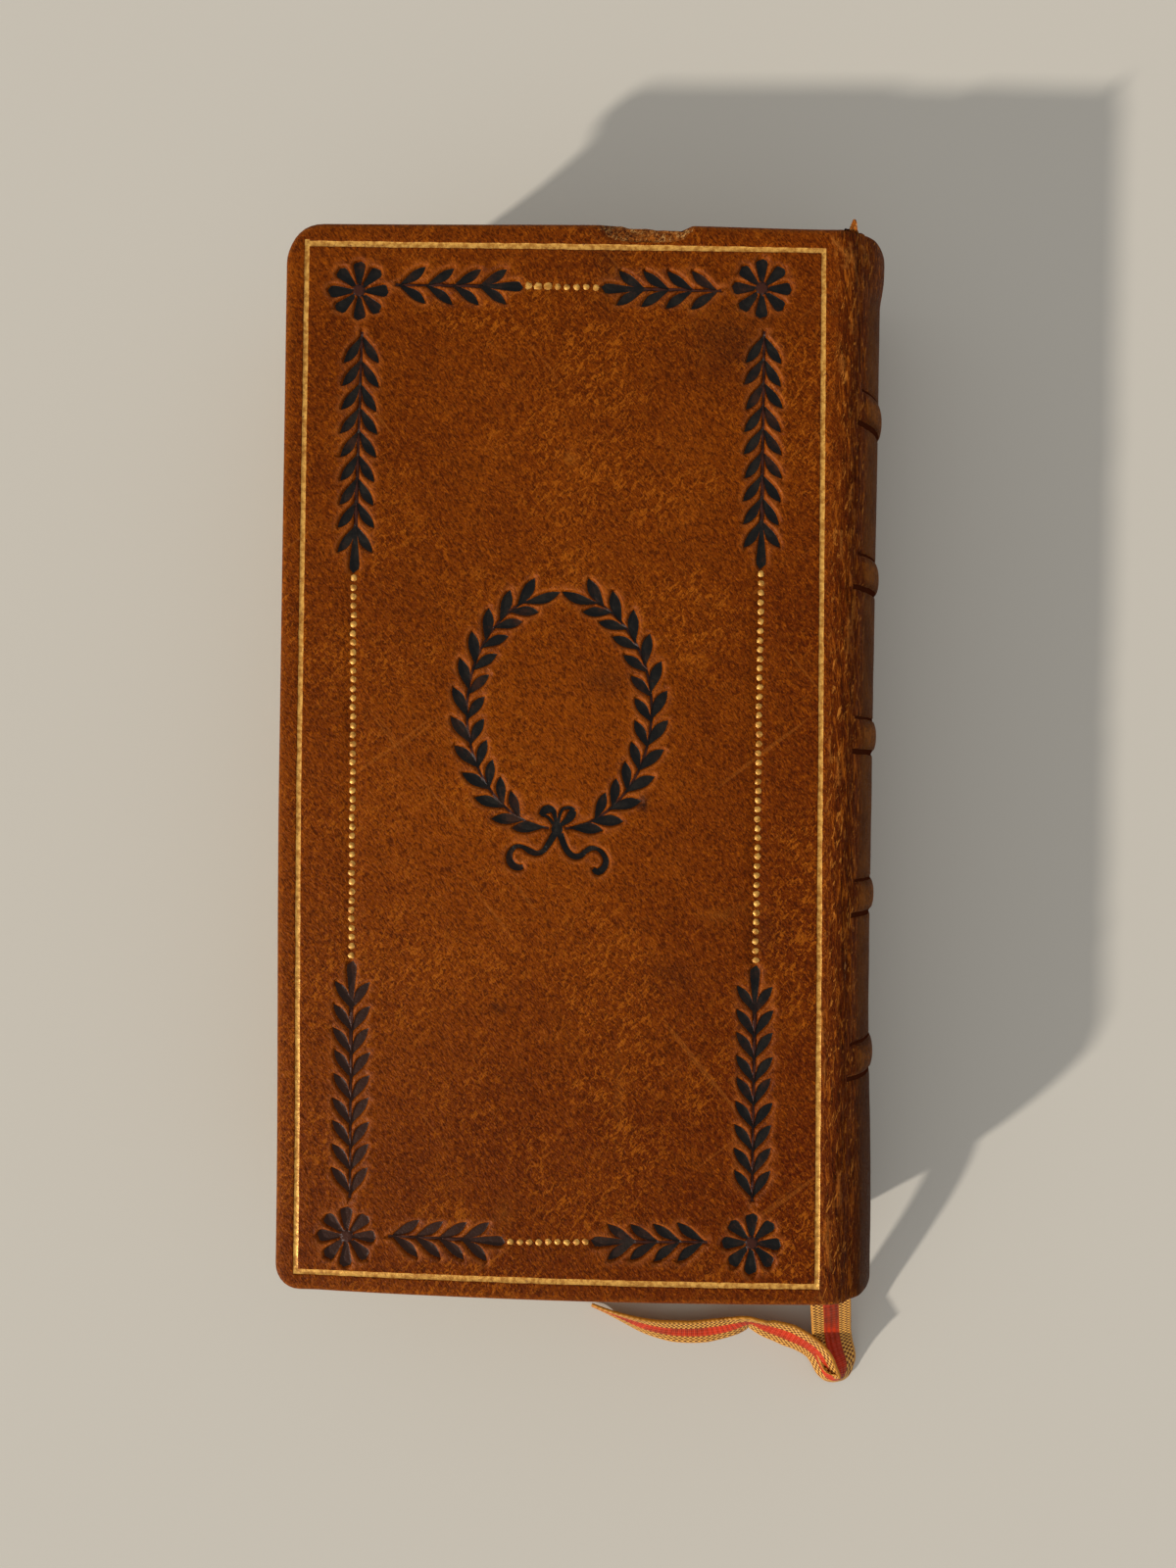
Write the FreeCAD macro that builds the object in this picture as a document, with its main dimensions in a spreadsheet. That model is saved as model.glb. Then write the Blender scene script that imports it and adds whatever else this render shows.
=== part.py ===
# An antique leather book that lies on its front cover, with the rear cover up.
# Millimetres. X runs to the spine, Y to the head of the pages and Z up.
# The origin is under the middle of the book, on the surface that it lies on.

import FreeCAD, Part
import Sketcher
import math
import os

from FreeCAD import Placement, Rotation, Vector

# Driving sizes: name, value and what it measures

DRIVING_SIZES = [
    ("CoverLength", 146.0, "covers and spine, tail to head"),
    ("CoverWidth", 77.6, "covers, fore edge to joint"),
    ("SpineReach", 6.4, "joint edge of the covers to the crown of a raised band"),
    ("BookThickness", 26.0, "outside of one cover to the outside of the other"),
    ("SpineRadius", 16.5, "outside of the rounded spine"),
    ("JointGap", 0.3, "gap between the cover leather and the spine leather"),
    ("LeatherThickness", 0.8, "outside leather"),
    ("TurnInThickness", 0.4, "pared leather folded over the inside of a board"),
    ("TurnInWidth", 8.0, "turn-in, measured from the edge of the cover"),
    ("BoardThickness", 2.0, "pasteboard of a cover"),
    ("GlueGap", 0.05, "room between a board and the leather around it"),
    ("CoverHeadRound", 5.0, "fore-edge corner of a cover at the head"),
    ("CoverTailRound", 3.4, "fore-edge corner of a cover at the tail"),
    ("CoverEdgeRound", 1.2, "outer edge of a cover"),
    ("CoverInnerRound", 0.5, "inner edge of a cover"),
    ("PageSquare", 2.4, "covers beyond the leaves"),
    ("PageGap", 0.2, "gap between the leaves and a cover"),
    ("PageHollow", 2.2, "depth of the hollow fore edge of the leaves"),
    ("LiningThickness", 0.5, "cloth and paper glued over the backs of the leaves"),
    ("LiningEdge", 0.25, "lining short of the outermost leaf"),
    ("BandHeight", 1.0, "raised band above the spine"),
    ("BandWidth", 4.6, "raised band across its foot"),
    ("BandCount", 5, "raised bands"),
    ("BandPitch", 22.45, "from one raised band to the next"),
    ("FirstBandDrop", 23.7, "head of the spine to the middle of the first band"),
    ("BandEndGap", 0.7, "cord under a band short of the joint"),
    ("BandFade", 2.6, "axis of a band past the axis of the spine, so that it fades at the joints"),
    ("BandLineWidth", 0.5, "dark line on each side of a band"),
    ("BandLineOffset", 2.35, "middle of a band to the middle of its dark line"),
    ("BandLineDepth", 0.25, "groove of a dark line"),
    ("CapThickness", 0.8, "leather turned in at the head and tail of the spine"),
    ("CapDepth", 2.9, "turned-in cap, measured along the radius"),
    ("CapTearWidth", 4.2, "torn part of the head cap"),
    ("CapTearRise", 8.3, "torn part above the middle of the spine"),
    ("CapTearDepth", 1.3, "torn part below the head of the spine"),
    ("HeadbandRadius", 1.3, "roll of a sewn headband"),
    ("HeadbandInset", 1.4, "inside of the spine leather to the middle of a headband"),
    ("HeadbandSpan", 68.0, "degrees of the spine that a headband covers"),
    ("RibbonWidth", 6.0, "ribbon marker"),
    ("RibbonThickness", 0.35, "ribbon marker"),
    ("RibbonSlotRoom", 0.1, "room around the ribbon between the leaves"),
    ("RibbonInset", 5.6, "crown of the leaves' backs to the middle of the ribbon"),
    ("RibbonHeadInset", 8.0, "head of the leaves to the hidden end of the ribbon"),
    ("RibbonTipWidth", 2.4, "worn tip of the ribbon"),
    ("ToolingDepth", 0.3, "stamped ornament below the leather"),
    ("InkThickness", 0.12, "dark colour on the floor of the ornament"),
    ("GoldThickness", 0.12, "gold on the floor of a fillet line"),
    ("FilletLineWidth", 0.8, "gold fillet line"),
    ("FilletDepth", 0.2, "groove of the gold fillet"),
    ("FilletForeInset", 3.0, "fore edge to the middle of the fillet"),
    ("FilletJointInset", 4.2, "joint edge to the middle of the fillet"),
    ("FilletHeadInset", 2.9, "head to the middle of the fillet"),
    ("FilletTailInset", 2.4, "tail to the middle of the fillet"),
    ("CornerForeInset", 9.8, "fore edge to the middle of a corner rosette"),
    ("CornerJointInset", 12.3, "joint edge to the middle of a corner rosette"),
    ("CornerHeadInset", 8.4, "head to the middle of a corner rosette"),
    ("CornerTailInset", 7.7, "tail to the middle of a corner rosette"),
    ("PetalLength", 3.4, "petal of a rosette"),
    ("PetalWidth", 1.7, "petal of a rosette at its widest"),
    ("PetalStart", 0.8, "middle of a rosette to the foot of a petal"),
    ("PetalCount", 8, "petals of a rosette"),
    ("SprayStart", 5.7, "middle of a rosette to the tip of a spray's stem"),
    ("LongSprayPairs", 9, "pairs of leaves in a spray along the book"),
    ("ShortSprayPairs", 4, "pairs of leaves in a spray across the book"),
    ("FirstPair", 1.2, "tip of a stem to its first pair of leaves"),
    ("PairPitch", 3.25, "from one pair of leaves to the next"),
    ("SprayLeafLength", 3.8, "leaf of a spray"),
    ("SprayLeafWidth", 1.15, "leaf of a spray"),
    ("SprayLeafAngle", 35.0, "degrees between a spray's leaf and its stem"),
    ("BudLength", 5.8, "bud at the end of a spray"),
    ("BudWidth", 1.7, "bud at the end of a spray"),
    ("StemWidth", 0.4, "stem of a spray and of the wreath"),
    ("LeafRoom", 0.08, "leather left between a stem and the foot of a leaf"),
    ("BeadWidth", 0.9, "gold bead"),
    ("BeadPitch", 1.25, "from one gold bead to the next"),
    ("BeadEndGap", 0.65, "bud to the middle of the first bead"),
    ("BeadChannelWidth", 1.1, "shallow channel that the beads stand in"),
    ("BeadDepth", 0.2, "shallow channel that the beads stand in"),
    ("WreathAcross", 25.0, "stems of the wreath, side to side"),
    ("WreathAlong", 32.2, "stems of the wreath, tail to head"),
    ("WreathShift", -0.5, "middle of the wreath from the middle of the cover, across"),
    ("WreathRise", 7.4, "middle of the wreath above the middle of the cover"),
    ("OuterLeafCount", 12, "outer leaves on each branch"),
    ("InnerLeafCount", 11, "inner leaves on each branch"),
    ("OuterLeafLength", 4.5, "outer leaf of the wreath"),
    ("OuterLeafWidth", 1.6, "outer leaf of the wreath"),
    ("InnerLeafLength", 4.1, "inner leaf of the wreath"),
    ("InnerLeafWidth", 1.35, "inner leaf of the wreath"),
    ("OuterLeafAngle", 24.0, "degrees between an outer leaf and its stem"),
    ("InnerLeafAngle", 40.0, "degrees between an inner leaf and its stem"),
    ("BowWidth", 0.95, "band of the bow"),
    ("ScoopWidth", 12.0, "torn scoop in the head edge of the rear cover"),
    ("ScoopDepth", 2.0, "torn scoop, measured from the head"),
    ("ScoopShift", 7.6, "middle of the scoop from the middle of the book"),
    ("ScoopSkin", 0.55, "leather gone in the scoop"),
]

# The free end of the ribbon from the tail of the leaves: x, y, z and bank.
# Bank is how far its right-hand edge is lifted, in degrees.
RIBBON_ROUTE = [
    (35.2, -74.8, 12.9, 0),
    (37.3, -79.2, 10.9, 0),
    (39.0, -83.4, 7.2, 4),
    (40.4, -87.4, 4.4, 25),
    (41.5, -90.6, 3.0, 50),
    (41.8, -93.2, 2.9, 60),
    (40.7, -94.9, 2.9, 62),
    (39.0, -94.6, 2.9, 62),
    (36.8, -92.0, 2.9, 62),
    (33.6, -89.5, 2.9, 62),
    (29.9, -88.0, 2.9, 64),
    (26.1, -86.9, 2.95, 66),
    (21.6, -88.0, 2.65, 55),
    (16.2, -89.0, 2.45, 48),
    (10.9, -88.2, 2.6, 52),
    (7.0, -86.8, 2.8, 60),
    (1.9, -84.9, 1.4, 70),
]

# Shapes of the bow under the wreath, from its knot: right half, x and y
BOW_LOOP = [[(0.1, 0.3), (0.5, 1.6), (0.8, 2.7)],
            [(0.5, 2.6), (1.5, 3.0), (2.3, 2.5)],
            [(2.3, 2.8), (1.9, 1.7), (0.3, 0.3)]]
BOW_TAIL = [(0.4, -0.9), (1.0, -2.8), (2.1, -3.8), (3.2, -3.8), (4.0, -3.0), (5.1, -2.9),
            (6.2, -3.4), (6.9, -4.4), (6.7, -5.3), (5.7, -5.9), (5.0, -5.7)]

# Outlines as shares of a length and a width, or of half a width and a depth
BLADE_SHAPE = [(0, 0), (0.3, -0.38), (0.68, -0.5), (1, 0), (0.68, 0.5), (0.3, 0.38)]
DROP_SHAPE = [(0, -0.1), (0.65, -0.5), (0.95, -0.3), (0.95, 0.3), (0.65, 0.5), (0, 0.1)]
SCOOP_SHAPE = [(-1.0, 0.3), (-0.82, -0.35), (-0.5, -0.8), (-0.1, -1.0), (0.3, -0.85),
               (0.7, -0.45), (0.9, -0.1), (1.0, 0.3)]
SCOOP_WALL_SHARE = 0.8
KNOT_HALF_WIDTH = 0.7
KNOT_HALF_HEIGHT = 0.9
BEAD_SIDES = 6

# Wreath angles, in degrees round each branch from the knot to the top
OUTER_LEAF_START = 8.0
OUTER_LEAF_END = 152.0
INNER_LEAF_START = 23.7
INNER_LEAF_END = 146.4
STEM_START = 4.5
STEM_END = 156.5
STEM_STEPS = 14

# Space-making shapes run this far past the ends of what they cut, in millimetres
OVERRUN = "1"

# Document and sheet of sizes

doc = FreeCAD.newDocument("LeatherBook")
sheet = doc.addObject("Spreadsheet::Sheet", "Sizes")
for row, (alias, value, note) in enumerate(DRIVING_SIZES, start=1):
    sheet.set(f"A{row}", note)
    sheet.set(f"B{row}", str(value))
    sheet.setAlias(f"B{row}", alias)
doc.recompute()

nodes = []


def number(expression):
    """The present value of an expression over the sheet."""
    return float(sheet.evalExpression(expression))


def size(alias):
    return number("Sizes." + alias)


# Places worked out from the driving sizes, each written once

FORE_EDGE = "(-(Sizes.CoverWidth + Sizes.SpineReach) / 2)"
JOINT_EDGE = f"({FORE_EDGE} + Sizes.CoverWidth)"
SPINE_EDGE = f"({JOINT_EDGE} + Sizes.JointGap)"
SPINE_AXIS_X = f"({JOINT_EDGE} + Sizes.SpineReach - Sizes.BandHeight - Sizes.SpineRadius)"
MIDDLE_Z = "(Sizes.BookThickness / 2)"
HEAD = "(Sizes.CoverLength / 2)"
TAIL = "(-Sizes.CoverLength / 2)"
COVER_THICKNESS = "(Sizes.LeatherThickness + Sizes.BoardThickness + Sizes.TurnInThickness)"
REAR_COVER_Z = f"(Sizes.BookThickness - {COVER_THICKNESS})"
PAGE_LENGTH = "(Sizes.CoverLength - 2 * Sizes.PageSquare)"
PAGE_THICKNESS = f"(Sizes.BookThickness - 2 * {COVER_THICKNESS} - 2 * Sizes.PageGap)"
LINING_OUTSIDE = "(Sizes.SpineRadius - Sizes.LeatherThickness)"
PAGE_SPINE_RADIUS = f"({LINING_OUTSIDE} - Sizes.LiningThickness)"
HEADBAND_RING = f"({LINING_OUTSIDE} - Sizes.HeadbandInset)"
CORD_WIDTH = "(Sizes.BandWidth - Sizes.LeatherThickness)"
RIBBON_X = f"({SPINE_AXIS_X} + {PAGE_SPINE_RADIUS} - Sizes.RibbonInset)"
LINE_FLOOR = "(Sizes.SpineRadius - Sizes.BandLineDepth)"


# Small helpers

def bind(thing, **expressions):
    """Tie properties of an object to expressions over the sheet."""
    for name, expression in expressions.items():
        thing.setExpression(name, expression)
    return thing


def place(thing, x="0", y="0", z="0"):
    """Tie the place of an object to expressions, without turning it."""
    thing.setExpression("Placement.Base.x", x)
    thing.setExpression("Placement.Base.y", y)
    thing.setExpression("Placement.Base.z", z)
    return thing


def node(thing, name):
    """Give a finished sub-part its name."""
    thing.Label = name
    nodes.append(thing)
    return thing


def cut(name, base, *tools):
    """Take the tools away from the base one after another."""
    for count, tool in enumerate(tools, start=1):
        step = doc.addObject("Part::Cut", f"{name}_cut_{count}")
        step.Base = base
        step.Tool = tool
        base = step
    return base


def box(name, x, y, z, length, width, height):
    solid = doc.addObject("Part::Box", name)
    bind(solid, Length=length, Width=width, Height=height)
    return place(solid, x, y, z)


def spine_cylinder(name, radius, y, length, span=None):
    """A cylinder round the axis of the spine, from y towards the head."""
    solid = doc.addObject("Part::Cylinder", name)
    bind(solid, Radius=radius, Height=length)
    turn = Rotation(Vector(1, 0, 0), -90)
    if span is not None:
        solid.setExpression("Angle", span)
        turn = turn * Rotation(Vector(0, 0, 1), -number(span) / 2)
    solid.Placement = Placement(Vector(), turn)
    return place(solid, SPINE_AXIS_X, y, MIDDLE_Z)


def spine_torus(name, ring, tube, y, span=None, shift="0"):
    """A ring round the axis of the spine, or beside it by a shift, centred on y."""
    solid = doc.addObject("Part::Torus", name)
    bind(solid, Radius1=ring, Radius2=tube)
    turn = Rotation(Vector(1, 0, 0), -90)
    if span is not None:
        solid.setExpression("Angle3", span)
        turn = turn * Rotation(Vector(0, 0, 1), -number(span) / 2)
    solid.Placement = Placement(Vector(), turn)
    return place(solid, f"{SPINE_AXIS_X} + {shift}", y, MIDDLE_Z)


def origin_plane(body, role):
    for feature in body.Origin.OriginFeatures:
        if feature.Role == role:
            return feature
    raise ValueError("no origin plane " + role)


def new_sketch(body, name, role):
    sketch = body.newObject("Sketcher::SketchObject", name)
    sketch.AttachmentSupport = (origin_plane(body, role), [""])
    sketch.MapMode = "FlatFace"
    return sketch


def add_rectangle(sketch, width, length):
    """A rectangle from the sketch's origin, with its two sizes tied."""
    wide, long = number(width), number(length)
    corners = [Vector(0, 0, 0), Vector(wide, 0, 0), Vector(wide, long, 0), Vector(0, long, 0)]
    for index in range(4):
        sketch.addGeometry(Part.LineSegment(corners[index], corners[(index + 1) % 4]), False)
    for index in range(4):
        sketch.addConstraint(Sketcher.Constraint("Coincident", index, 2, (index + 1) % 4, 1))
    sketch.addConstraint(Sketcher.Constraint("Coincident", 0, 1, -1, 1))
    for index, direction in enumerate(["Horizontal", "Vertical", "Horizontal", "Vertical"]):
        sketch.addConstraint(Sketcher.Constraint(direction, index))
    across = sketch.addConstraint(Sketcher.Constraint("DistanceX", 0, 1, 0, 2, wide))
    along = sketch.addConstraint(Sketcher.Constraint("DistanceY", 1, 1, 1, 2, long))
    sketch.setExpression(f"Constraints[{across}]", width)
    sketch.setExpression(f"Constraints[{along}]", length)


def edges_where(shape, test):
    """Names of the edges whose ends and middle pass a test."""
    names = []
    for index, edge in enumerate(shape.Edges, start=1):
        middle = edge.valueAt((edge.FirstParameter + edge.LastParameter) / 2)
        points = [vertex.Point for vertex in edge.Vertexes] + [middle]
        if all(test(point) for point in points):
            names.append(f"Edge{index}")
    return names


def add_fillet(body, name, base, test, radius):
    """Round the edges of the last feature that pass a test."""
    doc.recompute()
    fillet = body.newObject("PartDesign::Fillet", name)
    fillet.Base = (base, edges_where(base.Shape, test))
    fillet.setExpression("Radius", radius)
    return fillet


def near(value, target):
    return abs(value - target) < 0.01


# Flat sheets: boards, cover leathers and pastedowns

def rounded_plate(name, x, y, z, width, length, height, head_round, tail_round):
    """A flat body whose two fore-edge corners are rounded."""
    body = doc.addObject("PartDesign::Body", name)
    place(body, x, y, z)
    sketch = new_sketch(body, name + "_outline", "XY_Plane")
    add_rectangle(sketch, width, length)
    pad = body.newObject("PartDesign::Pad", name + "_pad")
    pad.Profile = sketch
    pad.setExpression("Length", height)
    long = number(length)
    head = add_fillet(body, name + "_head_corner", pad,
                      lambda p: near(p.x, 0) and near(p.y, long), head_round)
    add_fillet(body, name + "_tail_corner", head,
               lambda p: near(p.x, 0) and near(p.y, 0), tail_round)
    doc.recompute()
    return body


def make_board(name, z):
    wall = "Sizes.LeatherThickness"
    board = rounded_plate(
        name + "_sheet",
        f"{FORE_EDGE} + {wall} + Sizes.GlueGap",
        f"{TAIL} + {wall} + Sizes.GlueGap",
        z,
        f"Sizes.CoverWidth - {wall} - Sizes.GlueGap",
        f"Sizes.CoverLength - 2 * {wall} - 2 * Sizes.GlueGap",
        "Sizes.BoardThickness",
        f"Sizes.CoverHeadRound - {wall}",
        f"Sizes.CoverTailRound - {wall}")
    return node(board, name)


def make_pastedown(name, z):
    paper = rounded_plate(
        name + "_sheet",
        f"{FORE_EDGE} + Sizes.TurnInWidth",
        f"{TAIL} + Sizes.TurnInWidth",
        z,
        "Sizes.CoverWidth - Sizes.TurnInWidth",
        "Sizes.CoverLength - 2 * Sizes.TurnInWidth",
        "Sizes.TurnInThickness",
        "Sizes.CoverInnerRound",
        "Sizes.CoverInnerRound")
    return node(paper, name)


def make_cover_leather(name, z, outer_z, board_z, paper_z, extra_tools):
    """Leather wrapped round a board, with its turn-ins left round the paper."""
    skin = rounded_plate(
        name + "_skin", FORE_EDGE, TAIL, z,
        "Sizes.CoverWidth", "Sizes.CoverLength", COVER_THICKNESS,
        "Sizes.CoverHeadRound", "Sizes.CoverTailRound")
    wide = size("CoverWidth")
    thick = number(COVER_THICKNESS)
    outside = thick if outer_z > 0 else 0.0
    inside = thick - outside
    outer = add_fillet(skin, name + "_outer_round", skin.Tip,
                       lambda p: near(p.z, outside), "Sizes.CoverEdgeRound")
    outer.Base = (outer.Base[0], [edge for edge in outer.Base[1]
                                  if not joint_edge(outer.Base[0].Shape, edge, wide)])
    doc.recompute()
    inner = add_fillet(skin, name + "_inner_round", outer,
                       lambda p: near(p.z, inside), "Sizes.CoverInnerRound")
    inner.Base = (inner.Base[0], [edge for edge in inner.Base[1]
                                  if not joint_edge(inner.Base[0].Shape, edge, wide)])
    doc.recompute()
    wall = "Sizes.LeatherThickness"
    board_space = rounded_plate(
        name + "_board_space", f"{FORE_EDGE} + {wall}", f"{TAIL} + {wall}", board_z,
        "Sizes.CoverWidth", f"Sizes.CoverLength - 2 * {wall}", "Sizes.BoardThickness",
        f"Sizes.CoverHeadRound - {wall}", f"Sizes.CoverTailRound - {wall}")
    paper_space = rounded_plate(
        name + "_paper_space",
        f"{FORE_EDGE} + Sizes.TurnInWidth", f"{TAIL} + Sizes.TurnInWidth", paper_z,
        "Sizes.CoverWidth", "Sizes.CoverLength - 2 * Sizes.TurnInWidth",
        "Sizes.TurnInThickness", "Sizes.CoverInnerRound", "Sizes.CoverInnerRound")
    return node(cut(name, skin, board_space, paper_space, *extra_tools), name)


def joint_edge(shape, edge_name, wide):
    """True for the straight edge of a cover that faces the spine."""
    edge = shape.getElement(edge_name)
    return all(near(vertex.Point.x, wide) for vertex in edge.Vertexes)


# Ornament outlines, drawn flat on the cover

def outline_face(points):
    corners = [Vector(x, y, 0) for x, y in points]
    return Part.Face(Part.makePolygon(corners + corners[:1]))


def turned(points, origin, angle):
    """Points along a direction in degrees, moved to an origin."""
    cosine = math.cos(math.radians(angle))
    sine = math.sin(math.radians(angle))
    return [(origin[0] + along * cosine - side * sine, origin[1] + along * sine + side * cosine)
            for along, side in points]


def blade(foot, angle, length, width):
    """A pointed leaf, widest past its middle."""
    shape = [(along * length, side * width) for along, side in BLADE_SHAPE]
    return outline_face(turned(shape, foot, angle))


def leaf(origin, stem_heading, lean, length, width):
    """A blade that leans away from its stem, with its foot beside the stem."""
    side = math.copysign(90, lean)
    clear = size("StemWidth") / 2 + size("LeafRoom")
    foot = turned([(clear, 0)], origin, stem_heading + side)[0]
    return blade(foot, stem_heading + lean, length, width)


def petal(origin, angle, length, width):
    """A drop, narrow at its foot and blunt at its far end."""
    shape = [(along * length, side * width) for along, side in DROP_SHAPE]
    return outline_face(turned(shape, origin, angle))


def strip(points, width):
    """A band of even width along a few points."""
    left, right = [], []
    for index, (x, y) in enumerate(points):
        before = points[max(index - 1, 0)]
        after = points[min(index + 1, len(points) - 1)]
        heading = math.atan2(after[1] - before[1], after[0] - before[0])
        side_x = -math.sin(heading) * width / 2
        side_y = math.cos(heading) * width / 2
        left.append((x + side_x, y + side_y))
        right.append((x - side_x, y - side_y))
    return outline_face(left + right[::-1])


def rosette(centre):
    step = 360.0 / size("PetalCount")
    faces = []
    for index in range(int(size("PetalCount"))):
        start = turned([(size("PetalStart"), 0)], centre, index * step)[0]
        faces.append(petal(start, index * step, size("PetalLength"), size("PetalWidth")))
    return faces


def spray_length(pairs):
    return size("FirstPair") + (pairs - 1) * size("PairPitch") + size("BudLength")


def spray(centre, angle, pairs):
    """A stem that leaves a rosette, with pairs of leaves and a bud at its end."""
    foot = turned([(size("SprayStart"), 0)], centre, angle)[0]
    last_pair = size("FirstPair") + (pairs - 1) * size("PairPitch")
    bud_foot = turned([(last_pair + size("LeafRoom"), 0)], foot, angle)[0]
    faces = [strip([foot, turned([(last_pair, 0)], foot, angle)[0]], size("StemWidth"))]
    for index in range(pairs):
        base = turned([(size("FirstPair") + index * size("PairPitch"), 0)], foot, angle)[0]
        for side in (-1, 1):
            faces.append(leaf(base, angle, side * size("SprayLeafAngle"),
                              size("SprayLeafLength"), size("SprayLeafWidth")))
    faces.append(petal(bud_foot, angle, size("BudLength"), size("BudWidth")))
    return faces


def wreath_point(centre, degrees, side):
    """A point on the wreath's stem and the heading towards its top."""
    turn = math.radians(degrees)
    across = size("WreathAcross") / 2
    along = size("WreathAlong") / 2
    x = centre[0] + side * across * math.sin(turn)
    y = centre[1] - along * math.cos(turn)
    heading = math.degrees(math.atan2(along * math.sin(turn), side * across * math.cos(turn)))
    return (x, y), heading


def spread(first, last, count):
    """Evenly spaced values from first to last."""
    return [first + (last - first) * index / max(count - 1, 1) for index in range(count)]


def wreath_branch(centre, side):
    """One branch: its stem, outer leaves, inner leaves and the leaf at its top."""
    path = [wreath_point(centre, turn, side)[0] for turn in spread(STEM_START, STEM_END, STEM_STEPS)]
    faces = [strip(path, size("StemWidth"))]
    for turn in spread(OUTER_LEAF_START, OUTER_LEAF_END, int(size("OuterLeafCount"))):
        base, heading = wreath_point(centre, turn, side)
        faces.append(leaf(base, heading, -side * size("OuterLeafAngle"),
                          size("OuterLeafLength"), size("OuterLeafWidth")))
    for turn in spread(INNER_LEAF_START, INNER_LEAF_END, int(size("InnerLeafCount"))):
        base, heading = wreath_point(centre, turn, side)
        faces.append(leaf(base, heading, side * size("InnerLeafAngle"),
                          size("InnerLeafLength"), size("InnerLeafWidth")))
    end, heading = wreath_point(centre, STEM_END, side)
    top = (centre[0], centre[1] + size("WreathAlong") / 2)
    toward = math.degrees(math.atan2(top[1] - end[1], top[0] - end[0]))
    foot = turned([(size("LeafRoom"), 0)], end, toward)[0]
    reach = math.dist(end, top) - 2 * size("LeafRoom")
    faces.append(blade(foot, toward, reach, size("InnerLeafWidth")))
    return faces


def bow(centre):
    """Two loops and two curling tails, tied under the wreath."""
    knot = (centre[0], centre[1] - size("WreathAlong") / 2)
    knot_corners = [(-KNOT_HALF_WIDTH, -KNOT_HALF_HEIGHT), (KNOT_HALF_WIDTH, -KNOT_HALF_HEIGHT),
                    (KNOT_HALF_WIDTH, KNOT_HALF_HEIGHT), (-KNOT_HALF_WIDTH, KNOT_HALF_HEIGHT)]
    faces = [outline_face(turned(knot_corners, knot, 0))]
    for side in (-1, 1):
        for points in BOW_LOOP + [BOW_TAIL]:
            faces.append(strip([(knot[0] + side * x, knot[1] + y) for x, y in points],
                               size("BowWidth")))
    slabs = [face.extrude(Vector(0, 0, -1)) for face in faces]
    whole = slabs[0].multiFuse(slabs[1:]).removeSplitter()
    return [face for face in whole.Faces if near(face.BoundBox.ZMin, 0)]


def drawing(name, shape):
    """Flat outlines held at the top of the rear cover."""
    feature = doc.addObject("Part::Feature", name)
    feature.Shape = shape
    return place(feature, "0", "0", "Sizes.BookThickness")


def downward(name, base, depth, start="0"):
    """A drawing pushed down into the cover, from a start below its surface."""
    solid = doc.addObject("Part::Extrusion", name)
    solid.Base = base
    solid.DirMode = "Custom"
    solid.Dir = Vector(0, 0, -1)
    solid.Solid = True
    solid.setExpression("LengthFwd", depth)
    solid.setExpression("LengthRev", f"-({start})")
    return solid


fore_edge = number(FORE_EDGE)
joint = number(JOINT_EDGE)
head = number(HEAD)
tail = number(TAIL)

# Where the ornament stands

corners = {
    "fore_head": (fore_edge + size("CornerForeInset"), head - size("CornerHeadInset")),
    "joint_head": (joint - size("CornerJointInset"), head - size("CornerHeadInset")),
    "fore_tail": (fore_edge + size("CornerForeInset"), tail + size("CornerTailInset")),
    "joint_tail": (joint - size("CornerJointInset"), tail + size("CornerTailInset")),
}
wreath_centre = ((fore_edge + joint) / 2 + size("WreathShift"), size("WreathRise"))
long_pairs = int(size("LongSprayPairs"))
short_pairs = int(size("ShortSprayPairs"))


def corner_ornament():
    """A rosette in each corner, with one spray along the book and one across."""
    faces = []
    for name, centre in corners.items():
        inward = 0 if "fore" in name else 180
        middle = -90 if name.endswith("head") else 90
        faces += rosette(centre)
        faces += spray(centre, middle, long_pairs)
        faces += spray(centre, inward, short_pairs)
    return faces


def fillet_frame():
    """The gold line round the cover, a flat ring."""
    half = size("FilletLineWidth") / 2
    left = fore_edge + size("FilletForeInset")
    right = joint - size("FilletJointInset")
    low = tail + size("FilletTailInset")
    high = head - size("FilletHeadInset")
    outside = [(left - half, low - half), (right + half, low - half),
               (right + half, high + half), (left - half, high + half)]
    inside = [(left + half, low + half), (right - half, low + half),
              (right - half, high - half), (left + half, high - half)]
    return outline_face(outside).cut(outline_face(inside))


def bead_runs():
    """Start and end of each row of beads, between the buds that face each other."""
    runs = []
    sides = [("fore_head", "fore_tail", long_pairs), ("joint_head", "joint_tail", long_pairs),
             ("fore_head", "joint_head", short_pairs), ("fore_tail", "joint_tail", short_pairs)]
    for first, second, pairs in sides:
        start, end = corners[first], corners[second]
        reach = size("SprayStart") + spray_length(pairs)
        heading = math.degrees(math.atan2(end[1] - start[1], end[0] - start[0]))
        runs.append((turned([(reach, 0)], start, heading)[0],
                     turned([(-reach, 0)], end, heading)[0], heading))
    return runs


def bead_faces():
    """Round gold beads, six-sided here."""
    faces = []
    for start, end, heading in bead_runs():
        room = math.dist(start, end) - 2 * size("BeadEndGap")
        count = int(room / size("BeadPitch")) + 1
        first = (math.dist(start, end) - (count - 1) * size("BeadPitch")) / 2
        for index in range(count):
            centre = turned([(first + index * size("BeadPitch"), 0)], start, heading)[0]
            rim = [turned([(size("BeadWidth") / 2, 0)], centre, 360 / BEAD_SIDES * side)[0]
                   for side in range(BEAD_SIDES)]
            faces.append(outline_face(rim))
    return faces


def bead_channels():
    return [strip([start, end], size("BeadChannelWidth")) for start, end, heading in bead_runs()]


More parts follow.
